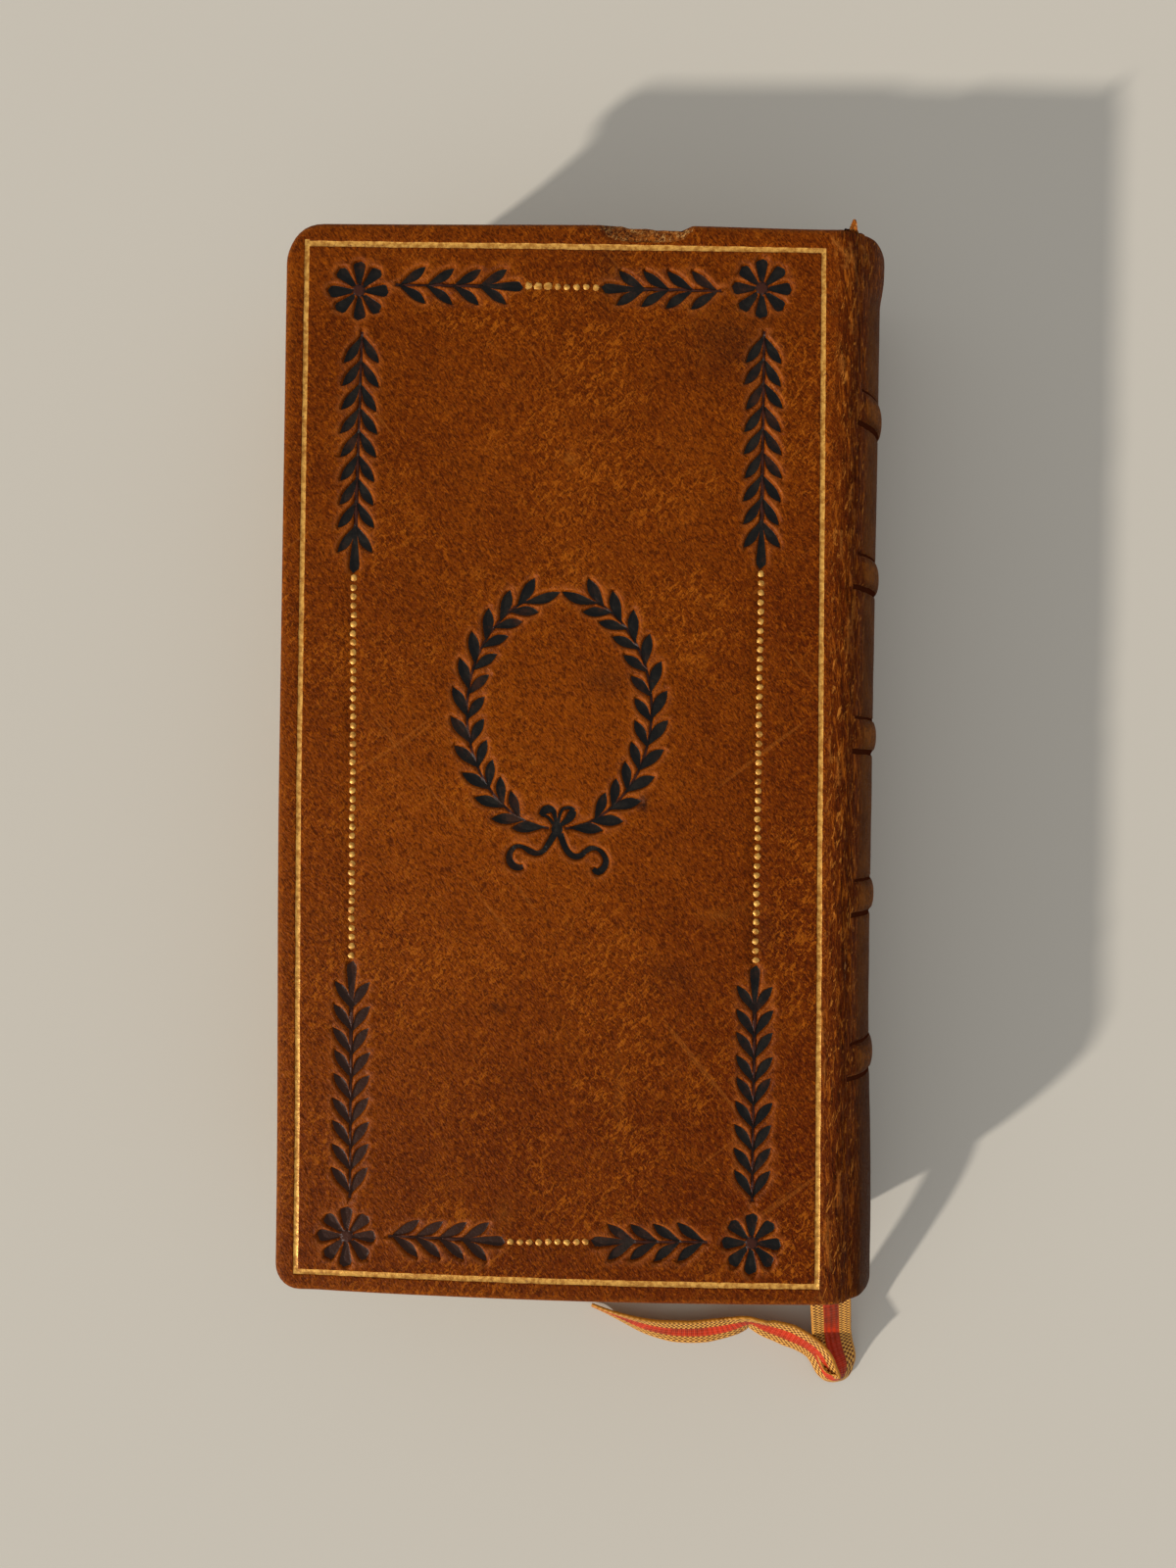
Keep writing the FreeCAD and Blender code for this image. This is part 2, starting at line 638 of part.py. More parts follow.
ornament = drawing("ornament_outlines", Part.Compound(
    corner_ornament() + wreath_branch(wreath_centre, -1) + wreath_branch(wreath_centre, 1)
    + bow(wreath_centre)))
frame_line = drawing("fillet_outline", fillet_frame())
beads = drawing("bead_outlines", Part.Compound(bead_faces()))
channels = drawing("bead_channel_outlines", Part.Compound(bead_channels()))

ornament_space = downward("ornament_space", ornament, "Sizes.ToolingDepth")
frame_space = downward("fillet_space", frame_line, "Sizes.FilletDepth")
bead_space = downward("bead_space", channels, "Sizes.BeadDepth")


def scoop_space():
    """The torn scoop at the head of the rear cover."""
    half = size("ScoopWidth") / 2
    middle = size("ScoopShift")
    depth = size("ScoopDepth")
    face = outline_face([(middle + x * half, head + y * depth) for x, y in SCOOP_SHAPE])
    return drawing("scoop_outline", face)


scoop = downward("scoop_space", scoop_space(), "Sizes.ScoopSkin")
scoop_wall = box("scoop_wall_space",
                 f"Sizes.ScoopShift - {SCOOP_WALL_SHARE} * Sizes.ScoopWidth / 2",
                 f"{HEAD} - Sizes.ScoopSkin / 2", f"{REAR_COVER_Z} + Sizes.CoverEdgeRound",
                 f"{SCOOP_WALL_SHARE} * Sizes.ScoopWidth", "Sizes.ScoopSkin", "Sizes.BookThickness")

# Covers

front_paper_z = f"{COVER_THICKNESS} - Sizes.TurnInThickness"
rear_board_z = f"{REAR_COVER_Z} + Sizes.TurnInThickness"

make_board("front_board", "Sizes.LeatherThickness")
make_board("rear_board", rear_board_z)
make_pastedown("front_pastedown", front_paper_z)
make_pastedown("rear_pastedown", REAR_COVER_Z)
make_cover_leather("front_cover_leather", "0", -1, "Sizes.LeatherThickness", front_paper_z, [])
make_cover_leather("rear_cover_leather", REAR_COVER_Z, 1, rear_board_z, REAR_COVER_Z,
                   [scoop, scoop_wall, frame_space, bead_space, ornament_space])

# Colour and gold laid in the stamped places

node(downward("ornament_ink", ornament, "Sizes.ToolingDepth",
              "Sizes.ToolingDepth - Sizes.InkThickness"), "rear_dark_tooling")
node(downward("fillet_gold", frame_line, "Sizes.FilletDepth",
              "Sizes.FilletDepth - Sizes.GoldThickness"), "rear_gold_fillet")
node(downward("bead_gold", beads, "Sizes.BeadDepth"), "rear_gold_beads")


# Leaves

def make_page_block():
    """The sewn leaves: rounded back, hollow fore edge, and a slot for the ribbon."""
    body = doc.addObject("PartDesign::Body", "page_block_body")
    page_x = f"({FORE_EDGE} + Sizes.PageSquare)"
    place(body, page_x, f"{PAGE_LENGTH} / 2", f"{COVER_THICKNESS} + Sizes.PageGap")
    half = f"({PAGE_THICKNESS} / 2)"
    width = f"{SPINE_AXIS_X} + sqrt({PAGE_SPINE_RADIUS}^2 - {half}^2) - {page_x}"
    hollow_radius = f"({half}^2 + Sizes.PageHollow^2) / (2 * Sizes.PageHollow)"
    wide, thick = number(width), number(PAGE_THICKNESS)
    crown = number(f"{SPINE_AXIS_X} + {PAGE_SPINE_RADIUS} - {page_x}")
    hollow = size("PageHollow")
    sketch = new_sketch(body, "page_block_section", "XZ_Plane")
    low_fore, low_spine = Vector(0, 0, 0), Vector(wide, 0, 0)
    top_spine, top_fore = Vector(wide, thick, 0), Vector(0, thick, 0)
    sketch.addGeometry(Part.LineSegment(low_fore, low_spine), False)
    sketch.addGeometry(Part.Arc(low_spine, Vector(crown, thick / 2, 0), top_spine), False)
    sketch.addGeometry(Part.LineSegment(top_spine, top_fore), False)
    sketch.addGeometry(Part.Arc(top_fore, Vector(hollow, thick / 2, 0), low_fore), False)
    # ends are matched by place, because an arc keeps its own direction
    ends = {}
    for index in range(4):
        for end in (1, 2):
            point = sketch.getPoint(index, end)
            ends.setdefault((round(point.x, 3), round(point.y, 3)), []).append((index, end))
    for pair in ends.values():
        sketch.addConstraint(Sketcher.Constraint("Coincident", *pair[0], *pair[1]))
    sketch.addConstraint(Sketcher.Constraint("Coincident", 0, 1, -1, 1))
    sketch.addConstraint(Sketcher.Constraint("Horizontal", 0))
    sketch.addConstraint(Sketcher.Constraint("Horizontal", 2))
    sketch.addConstraint(Sketcher.Constraint("Vertical", 0, 1, 2, 2))
    sketch.addConstraint(Sketcher.Constraint("Vertical", 0, 2, 2, 1))
    tied = [("DistanceX", (0, 1, 0, 2), wide, width),
            ("DistanceY", (0, 1, 2, 2), thick, PAGE_THICKNESS)]
    for kind, where, value, expression in tied:
        index = sketch.addConstraint(Sketcher.Constraint(kind, *where, value))
        sketch.setExpression(f"Constraints[{index}]", expression)
    for curve, expression in ((1, PAGE_SPINE_RADIUS), (3, hollow_radius)):
        index = sketch.addConstraint(Sketcher.Constraint("Radius", curve, number(expression)))
        sketch.setExpression(f"Constraints[{index}]", expression)
    pad = body.newObject("PartDesign::Pad", "page_block_pad")
    pad.Profile = sketch
    pad.setExpression("Length", PAGE_LENGTH)
    room = "Sizes.RibbonSlotRoom"
    slot = box("ribbon_slot",
               f"{RIBBON_X} - Sizes.RibbonWidth / 2 - {room}", f"-{PAGE_LENGTH} / 2 - {OVERRUN}",
               f"{MIDDLE_Z} - Sizes.RibbonThickness / 2 - {room}",
               f"Sizes.RibbonWidth + 2 * {room}",
               f"{PAGE_LENGTH} - Sizes.RibbonHeadInset + {OVERRUN} + {room}",
               f"Sizes.RibbonThickness + 2 * {room}")
    return node(cut("page_block", body, slot), "page_block")


make_page_block()


# Spine: lining, cords, leather and headbands

def make_spine_lining():
    half = f"({PAGE_THICKNESS} / 2 - Sizes.LiningEdge)"
    span = f"2 * asin({half} / {LINING_OUTSIDE})"
    start = f"-{PAGE_LENGTH} / 2"
    outside = spine_cylinder("lining_outside", LINING_OUTSIDE, start, PAGE_LENGTH, span)
    inside = spine_cylinder("lining_inside", PAGE_SPINE_RADIUS, f"{start} - {OVERRUN}",
                            f"{PAGE_LENGTH} + 2 * {OVERRUN}")
    return node(cut("spine_lining", outside, inside), "spine_lining")


def band_ys():
    """The middles of the raised bands, from the head down."""
    return [f"({HEAD} - Sizes.FirstBandDrop - {index} * Sizes.BandPitch)"
            for index in range(int(size("BandCount")))]


def arched_ring(foot_radius, width, height):
    """Ring and tube radius of a shifted torus that stands proud of a foot at the crown."""
    tube = f"(({height}^2 + ({width} / 2)^2) / (2 * {height}))"
    return f"({foot_radius} + {height} - {tube} - Sizes.BandFade)", tube


def spine_window(name, gap):
    """All that lies past the joint by a gap, at least as far as the bands reach."""
    return box(name, f"{JOINT_EDGE} + {gap}", f"{TAIL} - {OVERRUN}", f"-{OVERRUN}",
               "2 * Sizes.SpineRadius", f"Sizes.CoverLength + 2 * {OVERRUN}",
               f"Sizes.BookThickness + 2 * {OVERRUN}")


def common(name, base, tool):
    step = doc.addObject("Part::Common", name)
    step.Base = base
    step.Tool = tool
    return step


def make_bands():
    ring, tube = arched_ring(LINING_OUTSIDE, CORD_WIDTH, "Sizes.BandHeight")
    for index, y in enumerate(band_ys(), start=1):
        cord = spine_torus(f"band_{index}_cord", ring, tube, y, shift="Sizes.BandFade")
        below = spine_cylinder(f"band_{index}_seat", LINING_OUTSIDE, f"{y} - Sizes.BandWidth",
                               "2 * Sizes.BandWidth")
        window = spine_window(f"band_{index}_window", "Sizes.BandEndGap")
        raised = cut(f"band_{index}", cord, below)
        node(common(f"band_{index}_between", raised, window), f"spine_band_{index}")


def line_rings(name, outer, inner):
    """Thin rings for the dark lines on both sides of each band."""
    rings = []
    for index, y in enumerate(band_ys(), start=1):
        for side, sign in (("head", "+"), ("tail", "-")):
            low = f"{y} {sign} Sizes.BandLineOffset - Sizes.BandLineWidth / 2"
            label = f"{name}_{index}_{side}"
            outside = spine_cylinder(label + "_outside", outer, low, "Sizes.BandLineWidth")
            inside = spine_cylinder(label + "_inside", inner, f"{low} - {OVERRUN}",
                                    f"Sizes.BandLineWidth + 2 * {OVERRUN}")
            rings.append(cut(label, outside, inside))
    return rings


def make_spine_leather():
    """The leather over the spine, with its bands, caps and the torn head cap."""
    outside = spine_cylinder("spine_outside", "Sizes.SpineRadius", TAIL, "Sizes.CoverLength")
    ring, tube = arched_ring("Sizes.SpineRadius", "Sizes.BandWidth", "Sizes.BandHeight")
    ridges = [spine_torus(f"ridge_{index}", ring, tube, y, shift="Sizes.BandFade")
              for index, y in enumerate(band_ys(), start=1)]
    solid = doc.addObject("Part::MultiFuse", "spine_solid")
    solid.Shapes = [outside] + ridges
    inside = spine_cylinder("spine_inside", LINING_OUTSIDE, f"{TAIL} + Sizes.CapThickness",
                            "Sizes.CoverLength - 2 * Sizes.CapThickness")
    through = spine_cylinder("cap_inside", "Sizes.SpineRadius - Sizes.CapDepth",
                             f"{TAIL} - {OVERRUN}", f"Sizes.CoverLength + 2 * {OVERRUN}")
    room_ring, room_tube = arched_ring(LINING_OUTSIDE, f"({CORD_WIDTH} + 2 * Sizes.GlueGap)",
                                       "(Sizes.BandHeight + Sizes.GlueGap)")
    rooms = [spine_torus(f"cord_room_{index}", room_ring, room_tube, y, shift="Sizes.BandFade")
             for index, y in enumerate(band_ys(), start=1)]
    shell = cut("spine_shell", solid, inside, through, *rooms)
    window = spine_window("spine_window", "Sizes.JointGap")
    sector = common("spine_sector", shell, window)
    grooves = doc.addObject("Part::MultiFuse", "line_grooves")
    grooves.Shapes = line_rings("groove", "Sizes.SpineRadius + Sizes.BandHeight", LINE_FLOOR)
    tear = box("cap_tear", f"{JOINT_EDGE}", f"{HEAD} - Sizes.CapTearDepth",
               f"{MIDDLE_Z} + Sizes.CapTearRise - Sizes.CapTearWidth / 2",
               f"Sizes.SpineReach - Sizes.BandHeight - Sizes.LeatherThickness",
               "2 * Sizes.CapTearDepth", "Sizes.CapTearWidth")
    return node(cut("spine_leather", sector, grooves, tear), "spine_leather")


def make_line_ink():
    """The dark colour in the lines beside the bands."""
    rings = doc.addObject("Part::Compound", "line_ink_rings")
    rings.Links = line_rings("ink", f"{LINE_FLOOR} + Sizes.InkThickness", LINE_FLOOR)
    window = spine_window("ink_window", "Sizes.JointGap")
    return node(common("line_ink", rings, window), "spine_dark_tooling")


def make_headband(name, y, keep_from):
    """A sewn roll that sits on the leaves at one end of the spine."""
    roll = spine_torus(name + "_roll", HEADBAND_RING, "Sizes.HeadbandRadius", y,
                       "Sizes.HeadbandSpan")
    half = box(name + "_half", "0", keep_from, "0", "Sizes.CoverWidth",
               "2 * Sizes.HeadbandRadius", "Sizes.BookThickness")
    return node(common(name + "_half_roll", roll, half), name)


make_spine_lining()
make_bands()
make_spine_leather()
make_line_ink()
make_headband("headband", f"{PAGE_LENGTH} / 2", f"{PAGE_LENGTH} / 2")
make_headband("tailband", f"-{PAGE_LENGTH} / 2", f"-{PAGE_LENGTH} / 2 - 2 * Sizes.HeadbandRadius")


# Ribbon marker

def ribbon_section(centre, heading, bank, width, thickness):
    """A flat rectangle across the ribbon, with its right-hand edge lifted by the bank."""
    heading = heading.normalize()
    right = heading.cross(Vector(0, 0, 1)).normalize()
    up = right.cross(heading).normalize()
    lift = math.radians(bank)
    across = right * math.cos(lift) + up * math.sin(lift)
    through = across.cross(heading).normalize()
    points = []
    for side, face in ((-1, -1), (1, -1), (1, 1), (-1, 1)):
        points.append(centre + across * (side * width / 2) + through * (face * thickness / 2))
    return Part.makePolygon(points + points[:1])


def make_ribbon():
    """One woven strip: hidden between the leaves, then down and along the table."""
    middle = number(MIDDLE_Z)
    ribbon_x = number(RIBBON_X)
    page_end = number(f"{PAGE_LENGTH} / 2")
    inside = [(ribbon_x, page_end - size("RibbonHeadInset"), middle, 0),
              (ribbon_x, -page_end, middle, 0)]
    route = inside + RIBBON_ROUTE
    points = [Vector(*entry[:3]) for entry in route]
    sections = []
    for index, entry in enumerate(route):
        before = points[max(index - 1, 0)]
        after = points[min(index + 1, len(points) - 1)]
        # the hidden run ends square to the tail of the leaves
        heading = points[1] - points[0] if index < 2 else after - before
        last = index == len(route) - 1
        width = size("RibbonTipWidth") if last else size("RibbonWidth")
        sections.append(ribbon_section(points[index], heading, entry[3], width,
                                       size("RibbonThickness")))
    ribbon = doc.addObject("Part::Feature", "ribbon_strip")
    ribbon.Shape = Part.makeLoft(sections, True, True)
    length = sum((points[index + 1] - points[index]).Length for index in range(1, len(points) - 1))
    print("free ribbon length", round(length, 1))
    return node(ribbon, "ribbon_marker")


make_ribbon()

# Check and write

doc.recompute()
for thing in doc.Objects:
    for state in thing.State:
        if state in ("Invalid", "Error"):
            raise RuntimeError(f"{thing.Name} is {state}")
os.makedirs("parts", exist_ok=True)
for thing in nodes:
    shape = thing.Shape
    if shape.isNull() or not shape.isValid() or not shape.Solids:
        raise RuntimeError(f"{thing.Label} has no valid solid")
    shape.exportStep(f"parts/{thing.Label}.step")
    print(thing.Label, len(shape.Solids), "solids", round(shape.Volume, 2), "mm3")
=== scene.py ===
# An antique leather book that lies on its front cover, with the rear cover up.
# Shapes are worked out in millimetres and become metres when a mesh is made.

import bpy
import math
import random
import numpy as np
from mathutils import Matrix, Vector, noise
from mathutils.geometry import delaunay_2d_cdt


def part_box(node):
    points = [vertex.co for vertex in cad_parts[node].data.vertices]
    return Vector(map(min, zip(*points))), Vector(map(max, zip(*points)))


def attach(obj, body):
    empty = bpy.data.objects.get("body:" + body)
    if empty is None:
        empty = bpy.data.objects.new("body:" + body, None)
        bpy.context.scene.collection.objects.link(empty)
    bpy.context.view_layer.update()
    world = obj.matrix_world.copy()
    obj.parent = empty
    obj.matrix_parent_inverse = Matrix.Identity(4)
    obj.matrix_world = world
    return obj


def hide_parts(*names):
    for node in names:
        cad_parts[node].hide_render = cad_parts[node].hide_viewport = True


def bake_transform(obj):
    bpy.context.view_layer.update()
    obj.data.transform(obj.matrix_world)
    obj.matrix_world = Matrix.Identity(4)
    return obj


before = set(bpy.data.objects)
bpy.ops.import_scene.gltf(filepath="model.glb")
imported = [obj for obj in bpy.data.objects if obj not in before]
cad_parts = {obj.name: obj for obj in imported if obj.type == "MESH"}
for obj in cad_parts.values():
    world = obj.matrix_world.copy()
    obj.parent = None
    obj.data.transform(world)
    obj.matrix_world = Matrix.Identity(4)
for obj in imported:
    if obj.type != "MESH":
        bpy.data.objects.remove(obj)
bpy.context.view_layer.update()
MM = 0.001


def node_box(name):
    """Lowest and highest corner of a node in millimetres."""
    low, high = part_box(name)
    return [value / MM for value in low], [value / MM for value in high]


# Sizes of the covers and the spine

REAR_LOW, REAR_HIGH = node_box("rear_cover_leather")
FORE, TAIL = REAR_LOW[0], REAR_LOW[1]
JOINT, HEAD, TOP = REAR_HIGH
COVER_THICKNESS = TOP - REAR_LOW[2]
MIDDLE_Z = TOP / 2
SPINE_RADIUS = 16.5
BAND_HEIGHT = 0.5
CROWN = node_box("spine_leather")[1][0] - 1.0
SPINE_AXIS_X = CROWN - SPINE_RADIUS
HEAD_ROUND = 5.0
TAIL_ROUND = 3.4
EDGE_ROUND = 1.0
INNER_ROUND = 0.5
TURN_IN_WIDTH = 8.0
TURN_IN_THICKNESS = 0.4
CAP_DEPTH = 2.9
CAP_WEAR = 0.25
CAP_TURN_IN = 1.4

# Roll of the leather from the flat of a cover into the joint and over the spine
ROLL_START = 33.8
ROLL_END_ANGLE = 38.0
ROLL_PULL = 1.9

# Where wrinkles, bands and colours begin and are full, across the leather
WRINKLE_START = (31.6, 34.0)
WRINKLE_END = (37.2, 39.4)
HINGE_CREASE = 36.2
BAND_FADE = (35.6, 39.6)
JOINT_TINT = (31.4, 34.2)
SPINE_TINT = (37.6, 40.2)

# Swelling of the spine over the head cap and towards its tail, and where it starts on each cover
CAP_SWELL = 0.55
TAIL_SWELL = 0.85
REAR_SWELL_REACH = (37.0, 40.0)
FRONT_SWELL_REACH = (41.5, 47.0)
FRONT_INSET = 0.1

# Raised bands and the dark lines beside them
BAND_WIDTH = 4.6
BAND_YS = [49.3 - 22.45 * index for index in range(5)]
BAND_LINE_OFFSET = 2.35
BAND_LINE_DEPTH = 0.2
TAIL_LINE_WIDTH, HEAD_LINE_WIDTH = 0.72, 0.4
TAIL_LINE_START, HEAD_LINE_START = 36.3, 37.2

# Pale ridges in the leather of the joint: places across and along the cover
HEAD_RIDGES = [[(34.5, 70.7), (34.8, 68.8), (35.2, 67.7), (35.7, 66.1)],
               [(32.1, 71.3), (32.8, 70.5), (34.0, 69.0), (34.1, 68.5), (33.8, 67.6)],
               [(36.5, 71.0), (37.2, 70.5), (38.1, 69.7), (38.6, 68.9)]]
RIDGE_COUNT = 18

# Stamped ornament
STAMP_DEPTH = 0.5
STEM_DEPTH = 0.3
STAMP_RIM = 0.26
STAMP_WALL = 0.05
STAMP_DOME = 0.12
STAMP_SWELL = 0.08
ROSETTES = {
    "fore_head": (-32.4, 64.2),
    "joint_head": (22.7, 64.8),
    "fore_tail": (-32.1, -65.7),
    "joint_tail": (23.4, -65.2),
}
PETAL_COUNT = 8
PETAL_FOOT, PETAL_LENGTH, PETAL_WIDTH = 0.75, 3.3, 1.66
HUB_RADIUS = 0.9
LONG_PAIRS = 9
SHORT_PAIRS = 4
SPRAYS = [
    # foot of the stem, end of the bud, pairs of leaves
    ((-31.9, 58.5), (-32.5, 25.4), LONG_PAIRS),
    ((23.1, 58.9), (23.2, 26.6), LONG_PAIRS),
    ((-31.7, -60.4), (-32.0, -27.8), LONG_PAIRS),
    ((23.4, -59.5), (23.3, -27.3), LONG_PAIRS),
    ((-27.4, 65.0), (-9.8, 64.9), SHORT_PAIRS),
    ((17.2, 64.4), (0.8, 64.7), SHORT_PAIRS),
    ((-26.3, -65.5), (-10.2, -65.9), SHORT_PAIRS),
    ((17.4, -65.2), (1.5, -65.6), SHORT_PAIRS),
]
FIRST_PAIR = 0.8
BUD_REACH = {LONG_PAIRS: 6.3, SHORT_PAIRS: 5.7}
BUD_WIDTH = 1.4
SPRAY_LEAF_LENGTH, SPRAY_LEAF_WIDTH, SPRAY_LEAN = 4.35, 1.22, 33
STEM_WIDTH = 0.36
WREATH_CENTRE = (-4.0, 6.95)
WREATH_ACROSS = 25.3
WREATH_ALONG = 32.3
OUTER_LEAF_LENGTH, OUTER_LEAF_WIDTH, OUTER_LEAN, FOOT_LEAN = 4.5, 1.45, 25, 13
INNER_LEAF_LENGTH, INNER_LEAF_WIDTH, INNER_LEAN = 4.0, 1.28, 40
BEAD_PITCH = 1.25
BEAD_RADIUS = 0.44
HEAD_ROW = 2
BLOTCHY_BEADS = 3
BLOTCHY_GROWTH = 1.22
BEAD_HEIGHT = 0.2
CHANNEL_WIDTH = 1.1
CHANNEL_DEPTH = 0.22
FILLET_WIDTH = 0.64
FILLET_DEPTH = 0.13
FILLET_TAIL_FORE, FILLET_TAIL_JOINT = np.array([(-39.0, -70.4), (32.35, -70.4)])
FILLET_HEAD_FORE, FILLET_HEAD_JOINT = np.array([(-39.0, 70.35), (30.95, 69.85)])

# Torn scoop in the head edge: outline across and along the cover
SCOOP = np.array([(0.7, 72.4), (1.5, 71.3), (2.6, 70.85), (5.0, 70.65), (8.0, 70.6), (10.6, 70.7),
                  (12.0, 71.0), (12.7, 71.7), (13.8, 73.4), (7.0, 74.2), (1.0, 73.8)])
SCOOP_INSIDE = slice(1, 8)
SCOOP_DEPTH = 0.42
SCOOP_EDGE = (0.8, 13.4)

random.seed(7)


# Meshes and attributes

def new_mesh(name, verts, faces, material, values=None, smooth=True):
    """A mesh object from millimetres, with one number per point under each name."""
    mesh = bpy.data.meshes.new(name)
    mesh.from_pydata((np.asarray(verts) * MM).tolist(), [], faces)
    mesh.update()
    for key, numbers in (values or {}).items():
        attribute = mesh.attributes.new(key, "FLOAT", "POINT")
        attribute.data.foreach_set("value", np.asarray(numbers, dtype=np.float32))
    materials = material if isinstance(material, list) else [material]
    for entry in materials:
        mesh.materials.append(entry)
    if smooth:
        mesh.polygons.foreach_set("use_smooth", np.ones(len(mesh.polygons), dtype=bool))
    thing = bpy.data.objects.new(name, mesh)
    bpy.context.collection.objects.link(thing)
    return thing


def part_of(verts, faces, values, keep):
    """The points, faces and values that the kept faces use."""
    chosen = [face for face, wanted in zip(faces, keep) if wanted]
    used = sorted({index for face in chosen for index in face})
    renumber = {old: new for new, old in enumerate(used)}
    smaller = [[renumber[index] for index in face] for face in chosen]
    picked = {key: np.asarray(numbers)[used] for key, numbers in values.items()}
    return np.asarray(verts)[used], smaller, picked


def rough(points, scale, seed=0.0):
    """Smooth noise from -1 to 1 at each point, with so many bumps per millimetre."""
    shift = Vector((seed * 17.3, seed * 5.1, seed * 9.7))
    return np.array([noise.noise(Vector(point) * scale + shift) for point in points])


def noise_at(*place):
    """Smooth noise from -1 to 1 at one place."""
    return noise.noise(Vector(place))


def numbered(rows, columns, first=0):
    """Numbers of the points in rows that follow each other."""
    return [range(first + row * columns, first + (row + 1) * columns) for row in range(rows)]


def quads(rows, closed=False, flip=False):
    """Faces between rows of point numbers; closed rows join up at their ends."""
    faces = []
    for low, high in zip(rows, rows[1:]):
        for column in range(len(low) if closed else len(low) - 1):
            after = (column + 1) % len(low)
            sides = [low[after], high[column]]
            second, last = reversed(sides) if flip else sides
            faces.append([low[column], second, high[after], last])
    return faces


def fit(piece, body, node):
    """Tie a piece to its body, and hide the node that it stands for."""
    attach(piece, body)
    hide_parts(node)


def ramp(values, low, high):
    """0 below low, 1 above high, smooth between."""
    t = np.clip((np.asarray(values, dtype=float) - low) / (high - low), 0, 1)
    return t * t * (3 - 2 * t)


# Section of the leather across the book

def leather_profile():
    """Distance along the leather, and the place and outward direction there."""
    turn = math.radians(ROLL_END_ANGLE)
    start = np.array([ROLL_START, TOP])
    end = np.array([SPINE_AXIS_X + SPINE_RADIUS * math.cos(turn),
                    MIDDLE_Z + SPINE_RADIUS * math.sin(turn)])
    down = np.array([math.sin(turn), -math.cos(turn)])
    t = np.linspace(0, 1, 60)[:, None]
    first = start + np.array([ROLL_PULL, 0])
    second = end - ROLL_PULL * down
    roll = ((1 - t) ** 3 * start + 3 * (1 - t) ** 2 * t * first
            + 3 * (1 - t) * t ** 2 * second + t ** 3 * end)
    angles = np.linspace(turn, 0, 90)[1:]
    arc = np.column_stack([SPINE_AXIS_X + SPINE_RADIUS * np.cos(angles),
                           MIDDLE_Z + SPINE_RADIUS * np.sin(angles)])
    points = np.vstack([[[FORE - 2, TOP], [ROLL_START - 0.2, TOP]], roll, arc])
    steps = np.linalg.norm(np.diff(points, axis=0), axis=1)
    along = points[0, 0] + np.concatenate([[0], np.cumsum(steps)])
    tangent = np.gradient(points, along, axis=0)
    tangent /= np.linalg.norm(tangent, axis=1)[:, None]
    tangent[-1] = (0, -1)
    outward = np.column_stack([-tangent[:, 1], tangent[:, 0]])
    return along, points, outward


PROFILE_ALONG, PROFILE_POINTS, PROFILE_OUT = leather_profile()
CROWN_ALONG = PROFILE_ALONG[-1]


def outline_drift(across, y):
    """How far the worn outline of a cover is from a true rectangle, near its edges."""
    at_fore = ramp(-across, 34.6, 38.4)
    at_head = ramp(y, 69.2, 72.6) * (1 - ramp(across, 6.0, 34.0))
    bow = 0.35 + 0.65 * np.clip(1 - ((across - 2.0) / 38.0) ** 2, 0, 1)
    return -0.6 * at_fore * ramp(y, -68.0, 0.0), 0.5 * at_head - bow * ramp(-y, 66.5, 73.0)


def surface(across, y, height, front=False):
    """Places on the leather at a distance across, with a height above it."""
    x = np.interp(across, PROFILE_ALONG, PROFILE_POINTS[:, 0])
    z = np.interp(across, PROFILE_ALONG, PROFILE_POINTS[:, 1])
    out_x = np.interp(across, PROFILE_ALONG, PROFILE_OUT[:, 0])
    out_z = np.interp(across, PROFILE_ALONG, PROFILE_OUT[:, 1])
    move_x, move_y = outline_drift(across, y)
    places = np.column_stack([x + move_x + out_x * height, y + move_y, z + out_z * height])
    if front:
        places[:, 2] = TOP - places[:, 2]
    return places


# Outlines of the ornament

def turned(points, origin, angle):
    """Points along a direction in degrees, moved to an origin."""
    cosine, sine = math.cos(math.radians(angle)), math.sin(math.radians(angle))
    points = np.asarray(points, dtype=float)
    return np.column_stack([origin[0] + points[:, 0] * cosine - points[:, 1] * sine,
                            origin[1] + points[:, 0] * sine + points[:, 1] * cosine])


def swept(origin, angle, length, half_widths, bend=0.0):
    """An outline round a middle line, from its half widths at even steps."""
    t = np.linspace(0, 1, len(half_widths))
    middle = bend * length * 4 * t * (1 - t)
    right = np.column_stack([t * length, middle - half_widths])
    left = np.column_stack([t * length, middle + half_widths])
    return turned(np.vstack([right, left[-2:0:-1]]), origin, angle)


LEAF_STEPS = np.linspace(0, 1, 11)


def leaf(origin, angle, length, width, bend=0.0):
    """A long leaf with a narrow foot, widest past its middle, with a blunt point."""
    half = 0.5 * width * (0.12 * (1 - LEAF_STEPS) + np.sin(np.pi * LEAF_STEPS ** 1.3) ** 0.9)
    half[-1] = 0.05
    return swept(origin, angle, length, half, bend)


def club(origin, angle, length, width, widest=0.76, foot=0.26):
    """A bud or petal that widens evenly to a blunt round end."""
    inner = foot + (1 - foot) * (LEAF_STEPS / widest) ** 0.95
    past = np.clip((LEAF_STEPS - widest) / (1 - widest), 0, 1)
    half = 0.5 * width * np.where(LEAF_STEPS < widest, inner, (1 - past ** 2.6) ** 0.5)
    half[-1] = 0.12 * width
    return swept(origin, angle, length, half)


def ring(centre, radius, count, wobble):
    """An uneven circle."""
    turns = np.linspace(0, 2 * math.pi, count, endpoint=False)
    radii = radius * (1 + wobble * np.array([random.uniform(-1, 1) for _ in turns]))
    return np.column_stack([centre[0] + radii * np.cos(turns), centre[1] + radii * np.sin(turns)])


